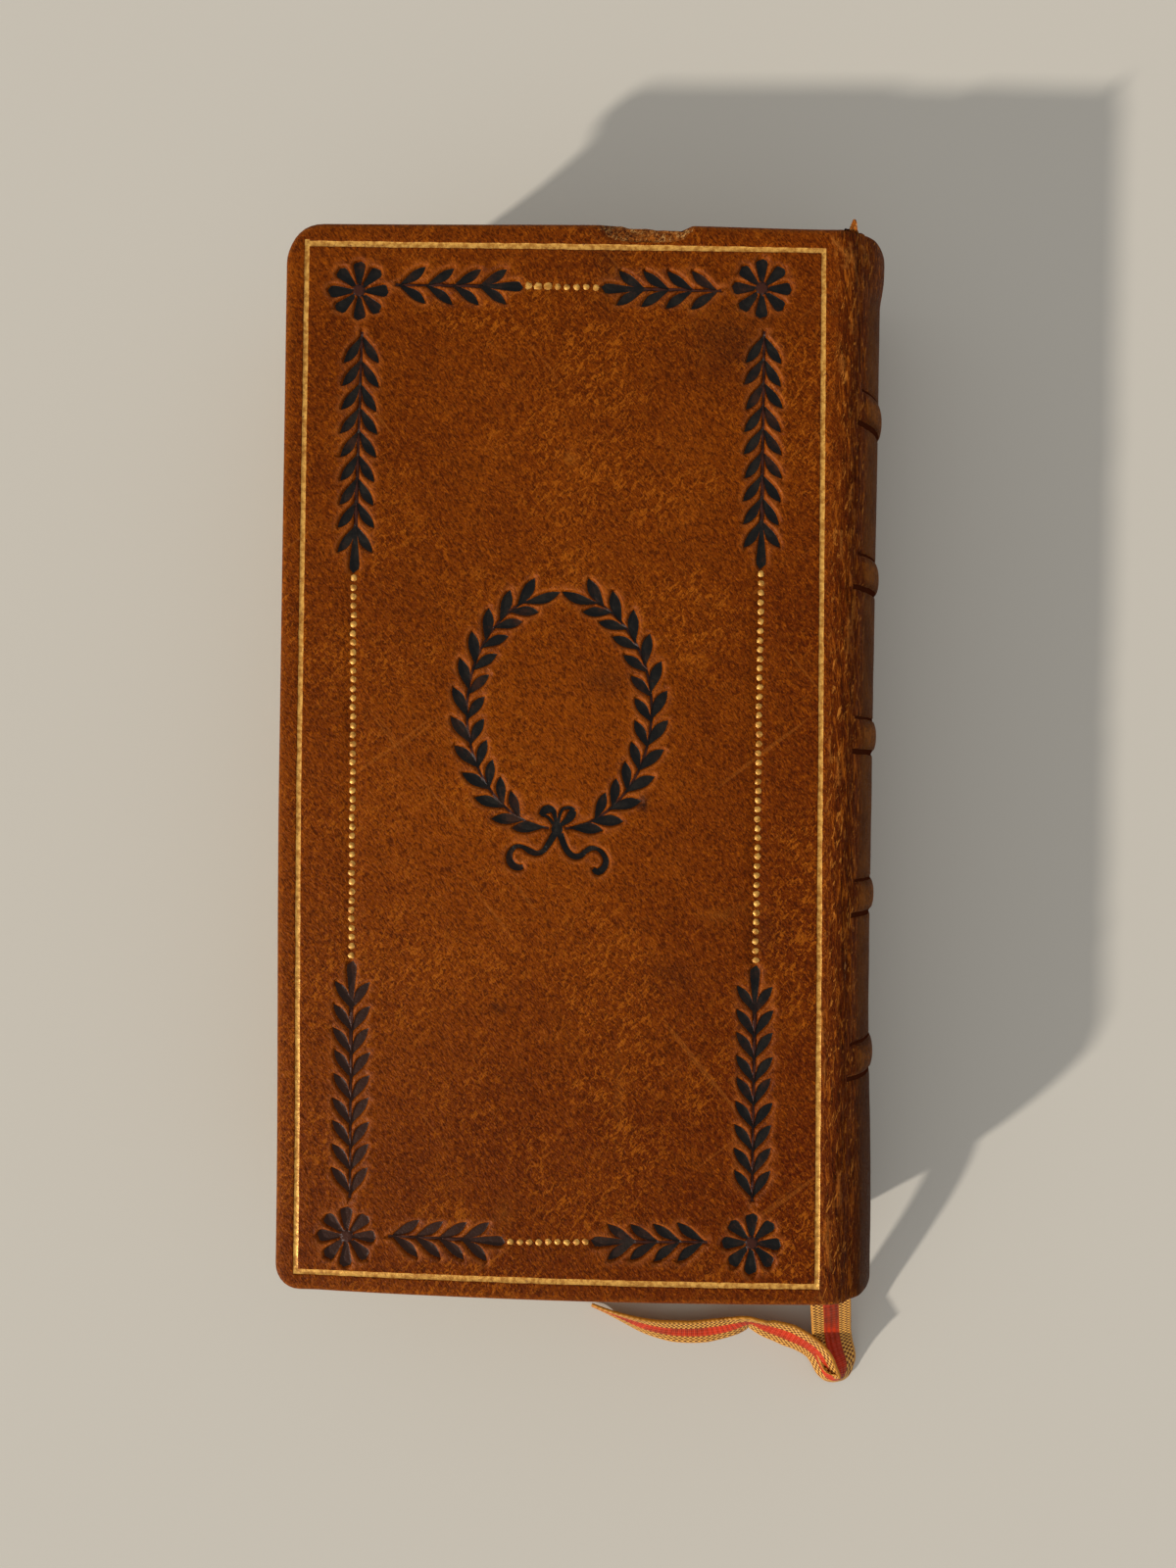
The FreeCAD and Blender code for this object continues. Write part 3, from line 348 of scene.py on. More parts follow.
def strip(points, width, wobble=0.0):
    """A band along a few points, whose width may change along it."""
    points = np.asarray(points, dtype=float)
    heading = np.gradient(points, axis=0)
    heading /= np.linalg.norm(heading, axis=1)[:, None]
    side = np.column_stack([-heading[:, 1], heading[:, 0]])
    half = np.broadcast_to(np.asarray(width, dtype=float) / 2, (len(points),))
    left_half = half + wobble * np.array([random.uniform(-1, 1) for _ in points])
    right_half = half + wobble * np.array([random.uniform(-1, 1) for _ in points])
    left = points + side * left_half[:, None]
    right = points - side * right_half[:, None]
    return np.vstack([left, right[::-1]])


def curved(points, steps=6):
    """A smooth line through a few points."""
    points = np.asarray(points, dtype=float)
    padded = np.vstack([2 * points[0] - points[1], points, 2 * points[-1] - points[-2]])
    line = []
    for index in range(1, len(padded) - 2):
        p0, p1, p2, p3 = padded[index - 1:index + 3]
        for t in np.linspace(0, 1, steps, endpoint=False):
            line.append(0.5 * (2 * p1 + (p2 - p0) * t + (2 * p0 - 5 * p1 + 4 * p2 - p3) * t ** 2
                               + (3 * p1 - p0 - 3 * p2 + p3) * t ** 3))
    return np.array(line + [points[-1]])


def spray(foot, end, pairs):
    """The stem of a spray, and its pairs of leaves with the bud at its end."""
    foot, end = np.array(foot), np.array(end)
    length = np.linalg.norm(end - foot)
    angle = math.degrees(math.atan2(end[1] - foot[1], end[0] - foot[0]))
    last = length - BUD_REACH[pairs]
    pitch = (last - FIRST_PAIR) / (pairs - 1)

    def at(along, side=0.0):
        return turned([(along, side)], foot, angle)[0]

    stem = strip([at(0), at(0.5), at(last / 2), at(last + 1)], [0.45, STEM_WIDTH, STEM_WIDTH, 0.6])
    leaves = []
    for index in range(pairs):
        for side in (-1, 1):
            along = FIRST_PAIR + index * pitch + random.uniform(-0.08, 0.08)
            lean = side * (SPRAY_LEAN + random.uniform(-2.5, 2.5))
            leaves.append(leaf(at(along - 0.25, side * 0.1), angle + lean,
                               SPRAY_LEAF_LENGTH, SPRAY_LEAF_WIDTH, -side * 0.045))
    leaves.append(club(at(last), angle, BUD_REACH[pairs], BUD_WIDTH, 0.8, 0.2))
    return stem, leaves


def wreath_point(degrees, side):
    """A place on the wreath's oval, counted from its foot, and the stem's heading there."""
    turn = math.radians(degrees)
    half_across, half_along = WREATH_ACROSS / 2, WREATH_ALONG / 2
    x = WREATH_CENTRE[0] + side * half_across * math.sin(turn)
    y = WREATH_CENTRE[1] - half_along * math.cos(turn)
    heading = math.degrees(math.atan2(half_along * math.sin(turn),
                                      side * half_across * math.cos(turn)))
    return (x, y), heading


def wreath_branch(side):
    """A curved stem, with leaves on both sides and the leaf that meets its twin at the top."""
    path = [wreath_point(turn, side)[0] for turn in np.linspace(5, 158, 34)]
    leaves = []
    for turn in np.linspace(8, 152, 12):
        base, heading = wreath_point(turn, side)
        lean = FOOT_LEAN if turn < 15 else OUTER_LEAN
        leaves.append(leaf(base, heading - side * lean, OUTER_LEAF_LENGTH, OUTER_LEAF_WIDTH, side * 0.03))
    for turn in np.linspace(23.7, 146.4, 11):
        base, heading = wreath_point(turn, side)
        leaves.append(leaf(base, heading + side * INNER_LEAN, INNER_LEAF_LENGTH, INNER_LEAF_WIDTH,
                           -side * 0.03))
    end, _ = wreath_point(156, side)
    top = (WREATH_CENTRE[0] + side * 0.1, WREATH_CENTRE[1] + WREATH_ALONG / 2 + 0.1)
    toward = math.degrees(math.atan2(top[1] - end[1], top[0] - end[0]))
    leaves.append(leaf(end, toward, math.dist(end, top), 1.3, side * 0.05))
    return strip(path, STEM_WIDTH), leaves


# Bow of the wreath, from the middle of its knot: places and widths along each strip
BOW_STRIPS = [
    [(-0.1, 0.5, 0.5), (-0.3, 1.6, 0.55), (-0.6, 2.55, 0.8), (-1.3, 2.8, 1.15), (-1.9, 2.45, 1.0),
     (-2.35, 1.95, 0.5)],
    [(-2.2, 2.0, 0.4), (-1.3, 1.65, 0.35), (-0.5, 0.7, 0.5)],
    [(0.1, 0.6, 0.45), (0.3, 1.9, 0.4), (0.8, 2.85, 0.45), (1.7, 3.0, 0.5), (2.3, 2.6, 0.6)],
    [(2.15, 2.65, 0.9), (1.9, 2.0, 1.2), (1.35, 1.3, 0.9), (0.45, 0.6, 0.5)],
    [(-0.35, -0.6, 0.95), (-1.1, -1.9, 0.85), (-1.85, -2.95, 0.7), (-2.75, -3.3, 0.75), (-3.7, -3.0, 0.85),
     (-4.6, -2.5, 0.6), (-5.6, -2.4, 0.6), (-6.35, -3.2, 0.75), (-6.5, -4.2, 0.95), (-6.0, -5.0, 1.0),
     (-5.2, -5.3, 0.85), (-4.6, -5.15, 0.6)],
    [(0.4, -0.6, 0.95), (0.95, -2.0, 0.85), (1.5, -3.0, 0.85), (2.3, -3.6, 0.85), (3.2, -3.55, 0.8),
     (3.9, -2.95, 0.7), (4.6, -2.5, 0.75), (5.5, -2.55, 0.55), (6.3, -3.2, 0.7), (6.75, -4.2, 0.8),
     (6.4, -5.2, 0.9), (5.6, -5.7, 0.9), (5.0, -5.3, 0.6)],
]


def bow():
    """A knot with two small folded loops and two curling tails."""
    knot = np.array([WREATH_CENTRE[0], WREATH_CENTRE[1] - WREATH_ALONG / 2 - 0.1])
    shapes = [ring(knot, 0.85, 10, 0.1)]
    for points in BOW_STRIPS:
        line = curved(points, 4)
        for first in range(0, len(line) - 1, 6):
            piece = line[first:first + 8]
            if len(piece) > 1:
                shapes.append(strip(knot + piece[:, :2], piece[:, 2]))
    return shapes


def dark_shapes():
    """Outlines of the thin stems and hubs, and of the dark leaves, petals, buds and bow."""
    thin, dark = [], []
    for centre in ROSETTES.values():
        thin.append(ring(centre, HUB_RADIUS, 16, 0.06))
        for index in range(PETAL_COUNT):
            turn = 360 / PETAL_COUNT * index + random.uniform(-2, 2)
            foot = turned([(PETAL_FOOT, 0)], centre, turn)[0]
            dark.append(club(foot, turn, PETAL_LENGTH, PETAL_WIDTH))
    for stem, leaves in [spray(*entry) for entry in SPRAYS] + [wreath_branch(side) for side in (-1, 1)]:
        thin.append(stem)
        dark += leaves
    return thin, dark + bow()


def bead_rows():
    """Each row of beads between the two buds that face each other."""
    rows = []
    for first, second in ((0, 2), (1, 3), (4, 5), (6, 7)):
        start, end = np.array(SPRAYS[first][1]), np.array(SPRAYS[second][1])
        along = (end - start) / np.linalg.norm(end - start)
        rows.append((start + along * 0.1, end - along * 0.1))
    return rows


def bead_shapes():
    """Uneven round beads; the first three of the head row are wider and blotchy."""
    beads = []
    for row, (start, end) in enumerate(bead_rows()):
        length = np.linalg.norm(end - start)
        count = int((length - BEAD_PITCH) / BEAD_PITCH) + 1
        for index in range(count):
            t = (0.6 + (length - 1.2) * index / (count - 1)) / length
            centre = start + (end - start) * t
            centre = centre + np.array([random.uniform(-0.05, 0.05), random.uniform(-0.05, 0.05)])
            blotchy = row == HEAD_ROW and index < BLOTCHY_BEADS
            radius = BEAD_RADIUS * (BLOTCHY_GROWTH if blotchy else 1)
            beads.append(ring(centre, radius, 10, 0.2 if blotchy else 0.13))
    return beads


def channel_shapes():
    """The shallow channels in which the beads lie."""
    return [strip([start, end], CHANNEL_WIDTH) for start, end in bead_rows()]


def fillet_shapes():
    """Four gold lines that cross a little unevenly at the corners."""
    def line(start, end):
        steps = np.linspace(0, 1, int(math.dist(start, end) / 1.1))
        return strip([start + (end - start) * t for t in steps], FILLET_WIDTH, 0.035)
    half = FILLET_WIDTH / 2
    aside, up = np.array([half, 0]), np.array([0, half])
    return [line(FILLET_HEAD_FORE - aside, FILLET_HEAD_JOINT + aside),
            line(FILLET_TAIL_FORE - aside, FILLET_TAIL_JOINT + aside),
            line(FILLET_TAIL_FORE - up, FILLET_HEAD_FORE + up * 1.5),
            line(FILLET_TAIL_JOINT - up, FILLET_HEAD_JOINT + up)]


def line_shapes():
    """The dark lines beside each raised band, round the spine: broad on the tail side, thin on the other."""
    shapes = []
    for y in BAND_YS:
        for side, width, inner_end in ((-1, TAIL_LINE_WIDTH, TAIL_LINE_START),
                                       (1, HEAD_LINE_WIDTH, HEAD_LINE_START)):
            middle = y + side * BAND_LINE_OFFSET
            start = inner_end + random.uniform(-0.3, 0.5)
            points = [(across, middle) for across in np.arange(start, CROWN_ALONG + 2, 0.9)]
            shapes.append(strip(points, width, 0.05))
    return shapes


def crease_shapes():
    """Pale ridges in the leather of the joint: bent ones at the head, and many short ones."""
    ridges = [strip(curved(points, 4), 0.14) for points in HEAD_RIDGES]
    for _ in range(RIDGE_COUNT):
        across = random.uniform(32.3, 36.6)
        y = random.uniform(TAIL + 4, HEAD - 12)
        reach = random.uniform(1.5, 5.0)
        lean = random.uniform(-0.12, 0.12) * reach
        points = [(across + lean * t + random.uniform(-0.13, 0.13), y + reach * t)
                  for t in np.linspace(0, 1, 5)]
        widths = curved([(width, 0) for width in (0.04, 0.09, 0.12, 0.08, 0.04)], 3)[:, 0]
        ridges.append(strip(curved(points, 3), widths))
    return [ridge for ridge in ridges if np.abs(ridge[:, 1]).max() < HEAD - EDGE_ROUND - 0.3]


def signed_distance(points, outline):
    """Distance from points to an outline, below zero inside it."""
    start = outline
    edge = np.roll(outline, -1, axis=0) - outline
    offset = points[:, None, :] - start[None, :, :]
    share = np.clip((offset * edge).sum(2) / np.maximum((edge ** 2).sum(1), 1e-9), 0, 1)
    nearest = np.linalg.norm(offset - share[:, :, None] * edge[None], axis=2).min(1)
    end = start + edge
    y = points[:, 1][:, None]
    crosses = (start[:, 1] > y) != (end[:, 1] > y)
    rise = np.where(np.abs(edge[:, 1]) < 1e-12, 1e-12, edge[:, 1])
    hit_x = start[:, 0] + (y - start[:, 1]) / rise * edge[:, 0]
    inside = (crosses & (points[:, 0][:, None] < hit_x)).sum(1) % 2 == 1
    return np.where(inside, -nearest, nearest)


FAR = 5.0


def nearest_shape(points, shapes, reach=1.0):
    """Distance to the nearest of many outlines, or FAR beyond a reach."""
    result = np.full(len(points), FAR)
    for outline in shapes:
        low, high = outline.min(0) - reach, outline.max(0) + reach
        near = np.flatnonzero(((points > low) & (points < high)).all(1))
        if len(near):
            result[near] = np.minimum(result[near], signed_distance(points[near], outline))
    return result


def within(points, shapes, low, high):
    """1 inside the outlines, falling to 0 between two distances from their edges."""
    return 1 - ramp(nearest_shape(points, shapes), low, high)


def offset_ring(outline, distance):
    """Points beside an outline, outside it for a distance above zero."""
    edge = np.roll(outline, -1, axis=0) - np.roll(outline, 1, axis=0)
    edge /= np.maximum(np.linalg.norm(edge, axis=1), 1e-9)[:, None]
    out = np.column_stack([edge[:, 1], -edge[:, 0]])
    area = (outline[:, 0] * np.roll(outline[:, 1], -1) - np.roll(outline[:, 0], -1) * outline[:, 1]).sum()
    return outline + out * distance * (1 if area > 0 else -1)


# Edge of the flat leather, from the crown at the head round the fore edge to the crown at the tail

def cap_drop(across):
    """How far the leather at the head of the spine is worn back."""
    return CAP_WEAR * ramp(across, JOINT - 0.2, CROWN_ALONG - 2.5)


def edge_path():
    """Points of the edge, inside the outline by the round of the edge, and their outward directions."""
    points, outward = [], []

    def add(x, y, out_x, out_y):
        points.append((x, y))
        outward.append((out_x, out_y))

    def add_corner(y, radius, first_turn, last_turn, count):
        for turn in np.radians(np.linspace(first_turn, last_turn, count)):
            out_x, out_y = math.cos(turn), math.sin(turn)
            add(FORE + radius + (radius - EDGE_ROUND) * out_x, y + (radius - EDGE_ROUND) * out_y,
                out_x, out_y)

    across_steps = np.concatenate([np.arange(CROWN_ALONG, ROLL_START - 1, -0.3),
                                   np.arange(ROLL_START - 1.4, FORE + HEAD_ROUND, -0.8)])
    for across in across_steps:
        add(across, HEAD - EDGE_ROUND - float(cap_drop(across)), 0, 1)
    add_corner(HEAD - HEAD_ROUND, HEAD_ROUND, 90, 180, 10)
    for y in np.linspace(HEAD - HEAD_ROUND, TAIL + TAIL_ROUND, 138)[1:-1]:
        add(FORE + EDGE_ROUND, y, -1, 0)
    add_corner(TAIL + TAIL_ROUND, TAIL_ROUND, 180, 270, 8)
    for across in across_steps[::-1]:
        if across > FORE + TAIL_ROUND:
            add(across, TAIL + EDGE_ROUND, 0, -1)
    return np.array(points), np.array(outward)


EDGE_POINTS, EDGE_OUT = edge_path()


def crown_ys():
    """Steps along the spine, closer together over the bands."""
    ys = [TAIL + EDGE_ROUND]
    while ys[-1] < HEAD - EDGE_ROUND - CAP_WEAR - 1.1:
        nearest = min(abs(ys[-1] - y) for y in BAND_YS)
        ys.append(ys[-1] + (0.32 if nearest < 3.3 else 0.8))
    return ys[1:]


CROWN_YS = crown_ys()
REAR_SPACING, FRONT_SPACING = 1.05, 2.0
FLAT_END = 31.6
CLOSE_COLUMNS = list(np.arange(31.9, 39.5, 0.29)) + list(np.arange(39.7, CROWN_ALONG - 0.3, 0.6))


def background_points(detailed):
    """Loose points over the flat, and closer ones over the joint, the spine and the bands."""
    points = []
    step = REAR_SPACING if detailed else FRONT_SPACING
    jitter = 0.15 * step
    for row, y in enumerate(np.arange(TAIL + EDGE_ROUND + step, HEAD - EDGE_ROUND - 0.4, step)):
        for x in np.arange(FORE + EDGE_ROUND + step * (0.6 + 0.5 * (row % 2)), FLAT_END, step):
            points.append((x + random.uniform(-jitter, jitter), y + random.uniform(-jitter, jitter)))
    for y in CROWN_YS + [CROWN_YS[-1] + 0.9, CROWN_YS[-1] + 1.8]:
        points += [(x, y + random.uniform(-0.1, 0.1)) for x in CLOSE_COLUMNS
                   if y < HEAD - EDGE_ROUND - cap_drop(x) - 0.35]
    return np.array(points)


def spread_points(shapes, offsets):
    """Rings of points beside the edges of the outlines."""
    return [offset_ring(outline, distance) for outline in shapes for distance in offsets]


INSIDE_ONLY = 1
MERGE_GAP = 0.012


def triangulate(rings, loose):
    """Triangles inside the edge of the leather that keep the rings as edges."""
    crown = np.array([(CROWN_ALONG, y) for y in CROWN_YS])
    border = np.vstack([EDGE_POINTS, crown])
    coords = [tuple(point) for point in border]
    edges = [(index, (index + 1) % len(border)) for index in range(len(border))]
    for outline in rings:
        first = len(coords)
        count = len(outline)
        coords += [tuple(point) for point in outline]
        edges += [(first + index, first + (index + 1) % count) for index in range(count)]
    coords += [tuple(point) for point in loose]
    verts, _, faces, origin, _, _ = delaunay_2d_cdt([Vector(point) for point in coords], edges, [],
                                                    INSIDE_ONLY, MERGE_GAP, True)
    place = {}
    for index, sources in enumerate(origin):
        for source in sources:
            place[source] = index
    border_index = [place[index] for index in range(len(EDGE_POINTS))]
    return np.array([tuple(vert) for vert in verts]), [list(face) for face in faces], border_index


# Heights of the leather above its plain section

def band_height(across, y):
    """Raised bands, which die away towards the joints."""
    fade = ramp(across, *BAND_FADE)
    height = np.zeros(len(y))
    for middle in BAND_YS:
        t = np.clip(np.abs(y - middle) / (BAND_WIDTH / 2), 0, 1)
        height = np.maximum(height, BAND_HEIGHT * (1 - t ** 2.4) ** 0.9)
    return height * fade


def wrinkles(across, y, seed):
    """Creases that run along the joint and die away on the smooth spine."""
    mask = ramp(across, *WRINKLE_START) * (1 - ramp(across, *WRINKLE_END))
    broad = np.array([noise_at(a * 1.1, b * 0.13, seed) for a, b in zip(across, y)])
    fine = np.array([noise_at(a * 2.6 + b * 0.25, b * 0.5, seed + 9) for a, b in zip(across, y)])
    crease = np.exp(-((across - HINGE_CREASE) / 0.5) ** 2)
    folds = 0.3 * (0.28 - np.abs(broad)) + 0.14 * (0.25 - np.abs(fine))
    return mask * folds - 0.1 * crease * ramp(np.abs(broad), -0.1, 0.3)


def leather_height(across, y, front):
    """Height of the whole leather: a little uneven, with bands, wrinkles and a swollen spine."""
    base = surface(across, y, 0.0, front)
    height = 0.07 * rough(base, 0.045, 1.0) + 0.035 * rough(base, 0.22, 2.0)
    if front:
        height = height - FRONT_INSET
    swell = CAP_SWELL * ramp(y, HEAD - 7.5, HEAD - 2.8) + TAIL_SWELL * ramp(-y, 32.0, 66.0)
    height = height + band_height(across, y) + wrinkles(across, y, 4.0 if front else 0.0)
    return height + swell * ramp(across, *(FRONT_SWELL_REACH if front else REAR_SWELL_REACH))


MARKS = [
    # x, y, reach across, reach along, strength, darker or lighter
    (7.7, -5.6, 0.75, 0.75, 1.3, "dark"),
    (-11.8, -33.8, 0.7, 0.6, 1.0, "dark"),
    (2.3, 11.2, 2.6, 1.6, 0.42, "dark"),
    (12.3, -29.1, 3.2, 1.8, 0.3, "dark"),
    (24.4, -23.0, 2.6, 2.2, 0.3, "dark"),
    (18.5, 57.5, 5.5, 5.0, 0.42, "dark"),
    (2.0, 66.8, 2.2, 5.5, 0.4, "dark"),
    (35.8, 65.8, 0.28, 0.3, 1.3, "dark"),
    (35.3, 67.4, 0.16, 0.9, 0.8, "dark"),
    # painted shadow in the gap under the torn tongue at the head of the joint
    (34.2, 72.6, 1.3, 0.45, 1.5, "dark"),
    (37.0, 70.0, 0.9, 0.22, 1.1, "dark"),
    (1.6, 72.0, 1.1, 1.2, 0.7, "dark"),
    (-3.0, 41.4, 0.8, 0.8, 0.9, "worn"),
    (18.2, -20.4, 2.2, 0.7, 0.45, "worn"),
    (22.3, -19.2, 1.6, 0.5, 0.5, "worn"),
    (-10.5, -62.0, 1.2, 2.4, 0.3, "worn"),
    (4.9, -45.0, 0.5, 7.0, 0.25, "worn"),
]
DENT_X, DENT_Y, DENT_REACH, DENT_DEPTH = -3.0, 41.4, 0.8, 0.22


def marks(across, y, kind):
    """How strong the spots of one kind are at each place."""
    total = np.zeros(len(y))
    for mark_x, mark_y, reach_x, reach_y, strength, layer in MARKS:
        if layer == kind:
            away = ((across - mark_x) / reach_x) ** 2 + ((y - mark_y) / reach_y) ** 2
            total = np.maximum(total, strength * np.exp(-away * 0.9))
    return total


# Covers with the half of the spine beside them

WORN_RINGS = 5


def edge_rings():
    """Rings that wrap the edge of the leather: how far out and how deep, for cover and for spine."""
    turns = np.radians([22, 45, 68, 90])
    cover = list(zip(EDGE_ROUND * np.sin(turns), EDGE_ROUND * (1 - np.cos(turns))))
    cover += [(EDGE_ROUND, 1.7), (EDGE_ROUND, 2.2), (EDGE_ROUND, COVER_THICKNESS - INNER_ROUND),
              (EDGE_ROUND - 0.15, COVER_THICKNESS - 0.15), (EDGE_ROUND - INNER_ROUND, COVER_THICKNESS)]
    spine = [(share * EDGE_ROUND, deep) for share, deep in (
        (0.55, 0.02), (0.8, 0.1), (0.95, 0.28), (1, 0.55), (1, 1.2), (1, 1.8), (1, 2.4))]
    spine += [(EDGE_ROUND - 0.2, CAP_DEPTH - 0.1), (EDGE_ROUND - 0.6, CAP_DEPTH)]
    return cover, spine


def wear_of_edge(across, y):
    """1 at the outline of the cover, falling off inwards."""
    inward = np.minimum(np.minimum(across - FORE, (HEAD - y) * 1.4), y - TAIL)
    return 1 - ramp(inward, 0.1, 1.5)


def stamped_height(flat):
    """Height of the stamped leather, where it is bare of black, and where its rim is rubbed paler and carries
    a painted highlight.
    """
    dark_gap = nearest_shape(flat, DARK)
    thin_gap = nearest_shape(flat, THIN)
    ink_gap = np.minimum(dark_gap, thin_gap)
    depth = STAMP_DEPTH * (1 - ramp(dark_gap, -STAMP_WALL, STAMP_RIM))
    depth = np.maximum(depth, STEM_DEPTH * (1 - ramp(thin_gap, -STAMP_WALL, STAMP_RIM * 0.8)))
    height = STAMP_DOME * ramp(-dark_gap, 0.1, 0.6) - depth
    height += STAMP_SWELL * np.exp(-((ink_gap - 0.42) / 0.15) ** 2)
    height -= FILLET_DEPTH * within(flat, FILLET, -0.1, 0.12)
    height -= CHANNEL_DEPTH * within(flat, CHANNELS, -0.14, 0.1)
    height += BEAD_HEIGHT * ramp(-nearest_shape(flat, BEADS), -0.02, 0.3)
    away = ((flat[:, 0] - DENT_X) ** 2 + (flat[:, 1] - DENT_Y) ** 2) / DENT_REACH ** 2
    height -= DENT_DEPTH * np.exp(-away * 2)
    return height, ramp(dark_gap, -0.04, 0.14), np.exp(-((ink_gap - 0.3) / 0.17) ** 2)


def detail_points():
    """Points that follow the edges of everything stamped into the rear cover."""
    around = spread_points(DARK, (0.44, STAMP_RIM, 0.1, -STAMP_WALL, -0.3))
    around += spread_points(THIN, (0.3, STAMP_RIM * 0.8, -STAMP_WALL))
    around += spread_points(FILLET, (0.2, 0.1, -0.1))
    around += spread_points(BEADS, (-0.2,)) + spread_points(CHANNELS, (0.12, -0.02))
    around += [np.array([outline.mean(0)]) for outline in BEADS]
    around = np.vstack(around)
    far_out = (around[:, 0] < FORE + EDGE_ROUND + 0.1) | (np.abs(around[:, 1]) > HEAD - EDGE_ROUND - 0.1)
    spacing = background_points(True)
    clear = nearest_shape(spacing, DARK + THIN + BEADS + CHANNELS) > 0.45
    clear &= nearest_shape(spacing, FILLET) > 0.3
    return np.vstack([around[~far_out], spacing[clear]])


def head_wear(across):
    """How far the edge at the head is torn back: at the scoop, and at a notch beside the joint."""
    fibres = np.array([noise_at(x * 2.1, 0, 5) for x in across])
    scoop = 0.55 * ramp(across, 3.0, 5.2) * (1 - ramp(across, 11.6, 13.4)) * (0.8 + 0.6 * fibres)
    deeper = 0.3 * ramp(across, 7.0, 8.4) * (1 - ramp(across, 11.4, 12.6))
    return scoop + deeper + np.exp(-((across - HINGE_CREASE) / 0.3) ** 2)


def wrap_edge(edge_height, front):
    """Rings of points round the edge of the leather and along its turned-in part."""
    cover_rings, spine_rings = edge_rings()
    edge = EDGE_POINTS
    on_spine = ramp(edge[:, 0], JOINT - 0.4, JOINT + 0.6)
    worn_away = (edge[:, 1] > 0) * head_wear(edge[:, 0]) * (0 if front else 1)
    rings = []
    for (cover_out, cover_deep), (spine_out, spine_deep) in zip(cover_rings, spine_rings):
        out = cover_out + (spine_out - cover_out) * on_spine
        deep = cover_deep + (spine_deep - cover_deep) * on_spine
        out = out - worn_away * np.clip(out / EDGE_ROUND, 0, 1)
        spot = edge + EDGE_OUT * out[:, None]
        lift = edge_height * (1 - ramp(deep, 0.0, 2.4))
        rings.append(surface(spot[:, 0], spot[:, 1], lift - deep, front))
    inner = np.clip(edge, (FORE + TURN_IN_WIDTH, TAIL + TURN_IN_WIDTH), (JOINT, HEAD - TURN_IN_WIDTH))
    last_out = cover_rings[-1][0]
    for share, step_up in ((0.35, 0), (0.7, 0), (1.0, 0), (1.0, TURN_IN_THICKNESS)):
        spot = (edge + EDGE_OUT * last_out) * (1 - share) + inner * share
        spot = np.where(edge[:, :1] > JOINT, edge + EDGE_OUT * (last_out - CAP_TURN_IN * share), spot)
        deep = np.where(edge[:, 0] > JOINT, CAP_DEPTH, COVER_THICKNESS - step_up)
        rings.append(surface(spot[:, 0], spot[:, 1], -deep, front))
    return rings


def wear_values(across, y, ring_count, front):
    """Wear, spots, painted shadow and tints of the points of the flat and of the rings round its edge."""
    edge_across = np.tile(EDGE_POINTS[:, 0], ring_count)
    full_across = np.concatenate([across, edge_across])
    full_y = np.concatenate([y, np.tile(EDGE_POINTS[:, 1], ring_count)])
    ring_wear = np.repeat([0.9 if index < WORN_RINGS else 0.25 for index in range(ring_count)],
                          len(EDGE_POINTS))
    worn = np.concatenate([wear_of_edge(across, y), ring_wear * (edge_across < JOINT + 6)]) * 0.3
    worn = np.maximum(worn, ramp(band_height(full_across, full_y), 0.25, 0.5) * 0.7)
    return {
        "worn": worn if front else np.maximum(worn, marks(full_across, full_y, "worn")),
        # the dark value holds stains, and painted shadow in the gap under the torn tongue
        "dark": np.zeros(len(full_y)) if front else marks(full_across, full_y, "dark"),
        "joint": ramp(full_across, *JOINT_TINT),
        "spine": ramp(full_across, *SPINE_TINT) * (1 - 0.8 * ramp(full_y, HEAD - 10, HEAD - 5)),
    }


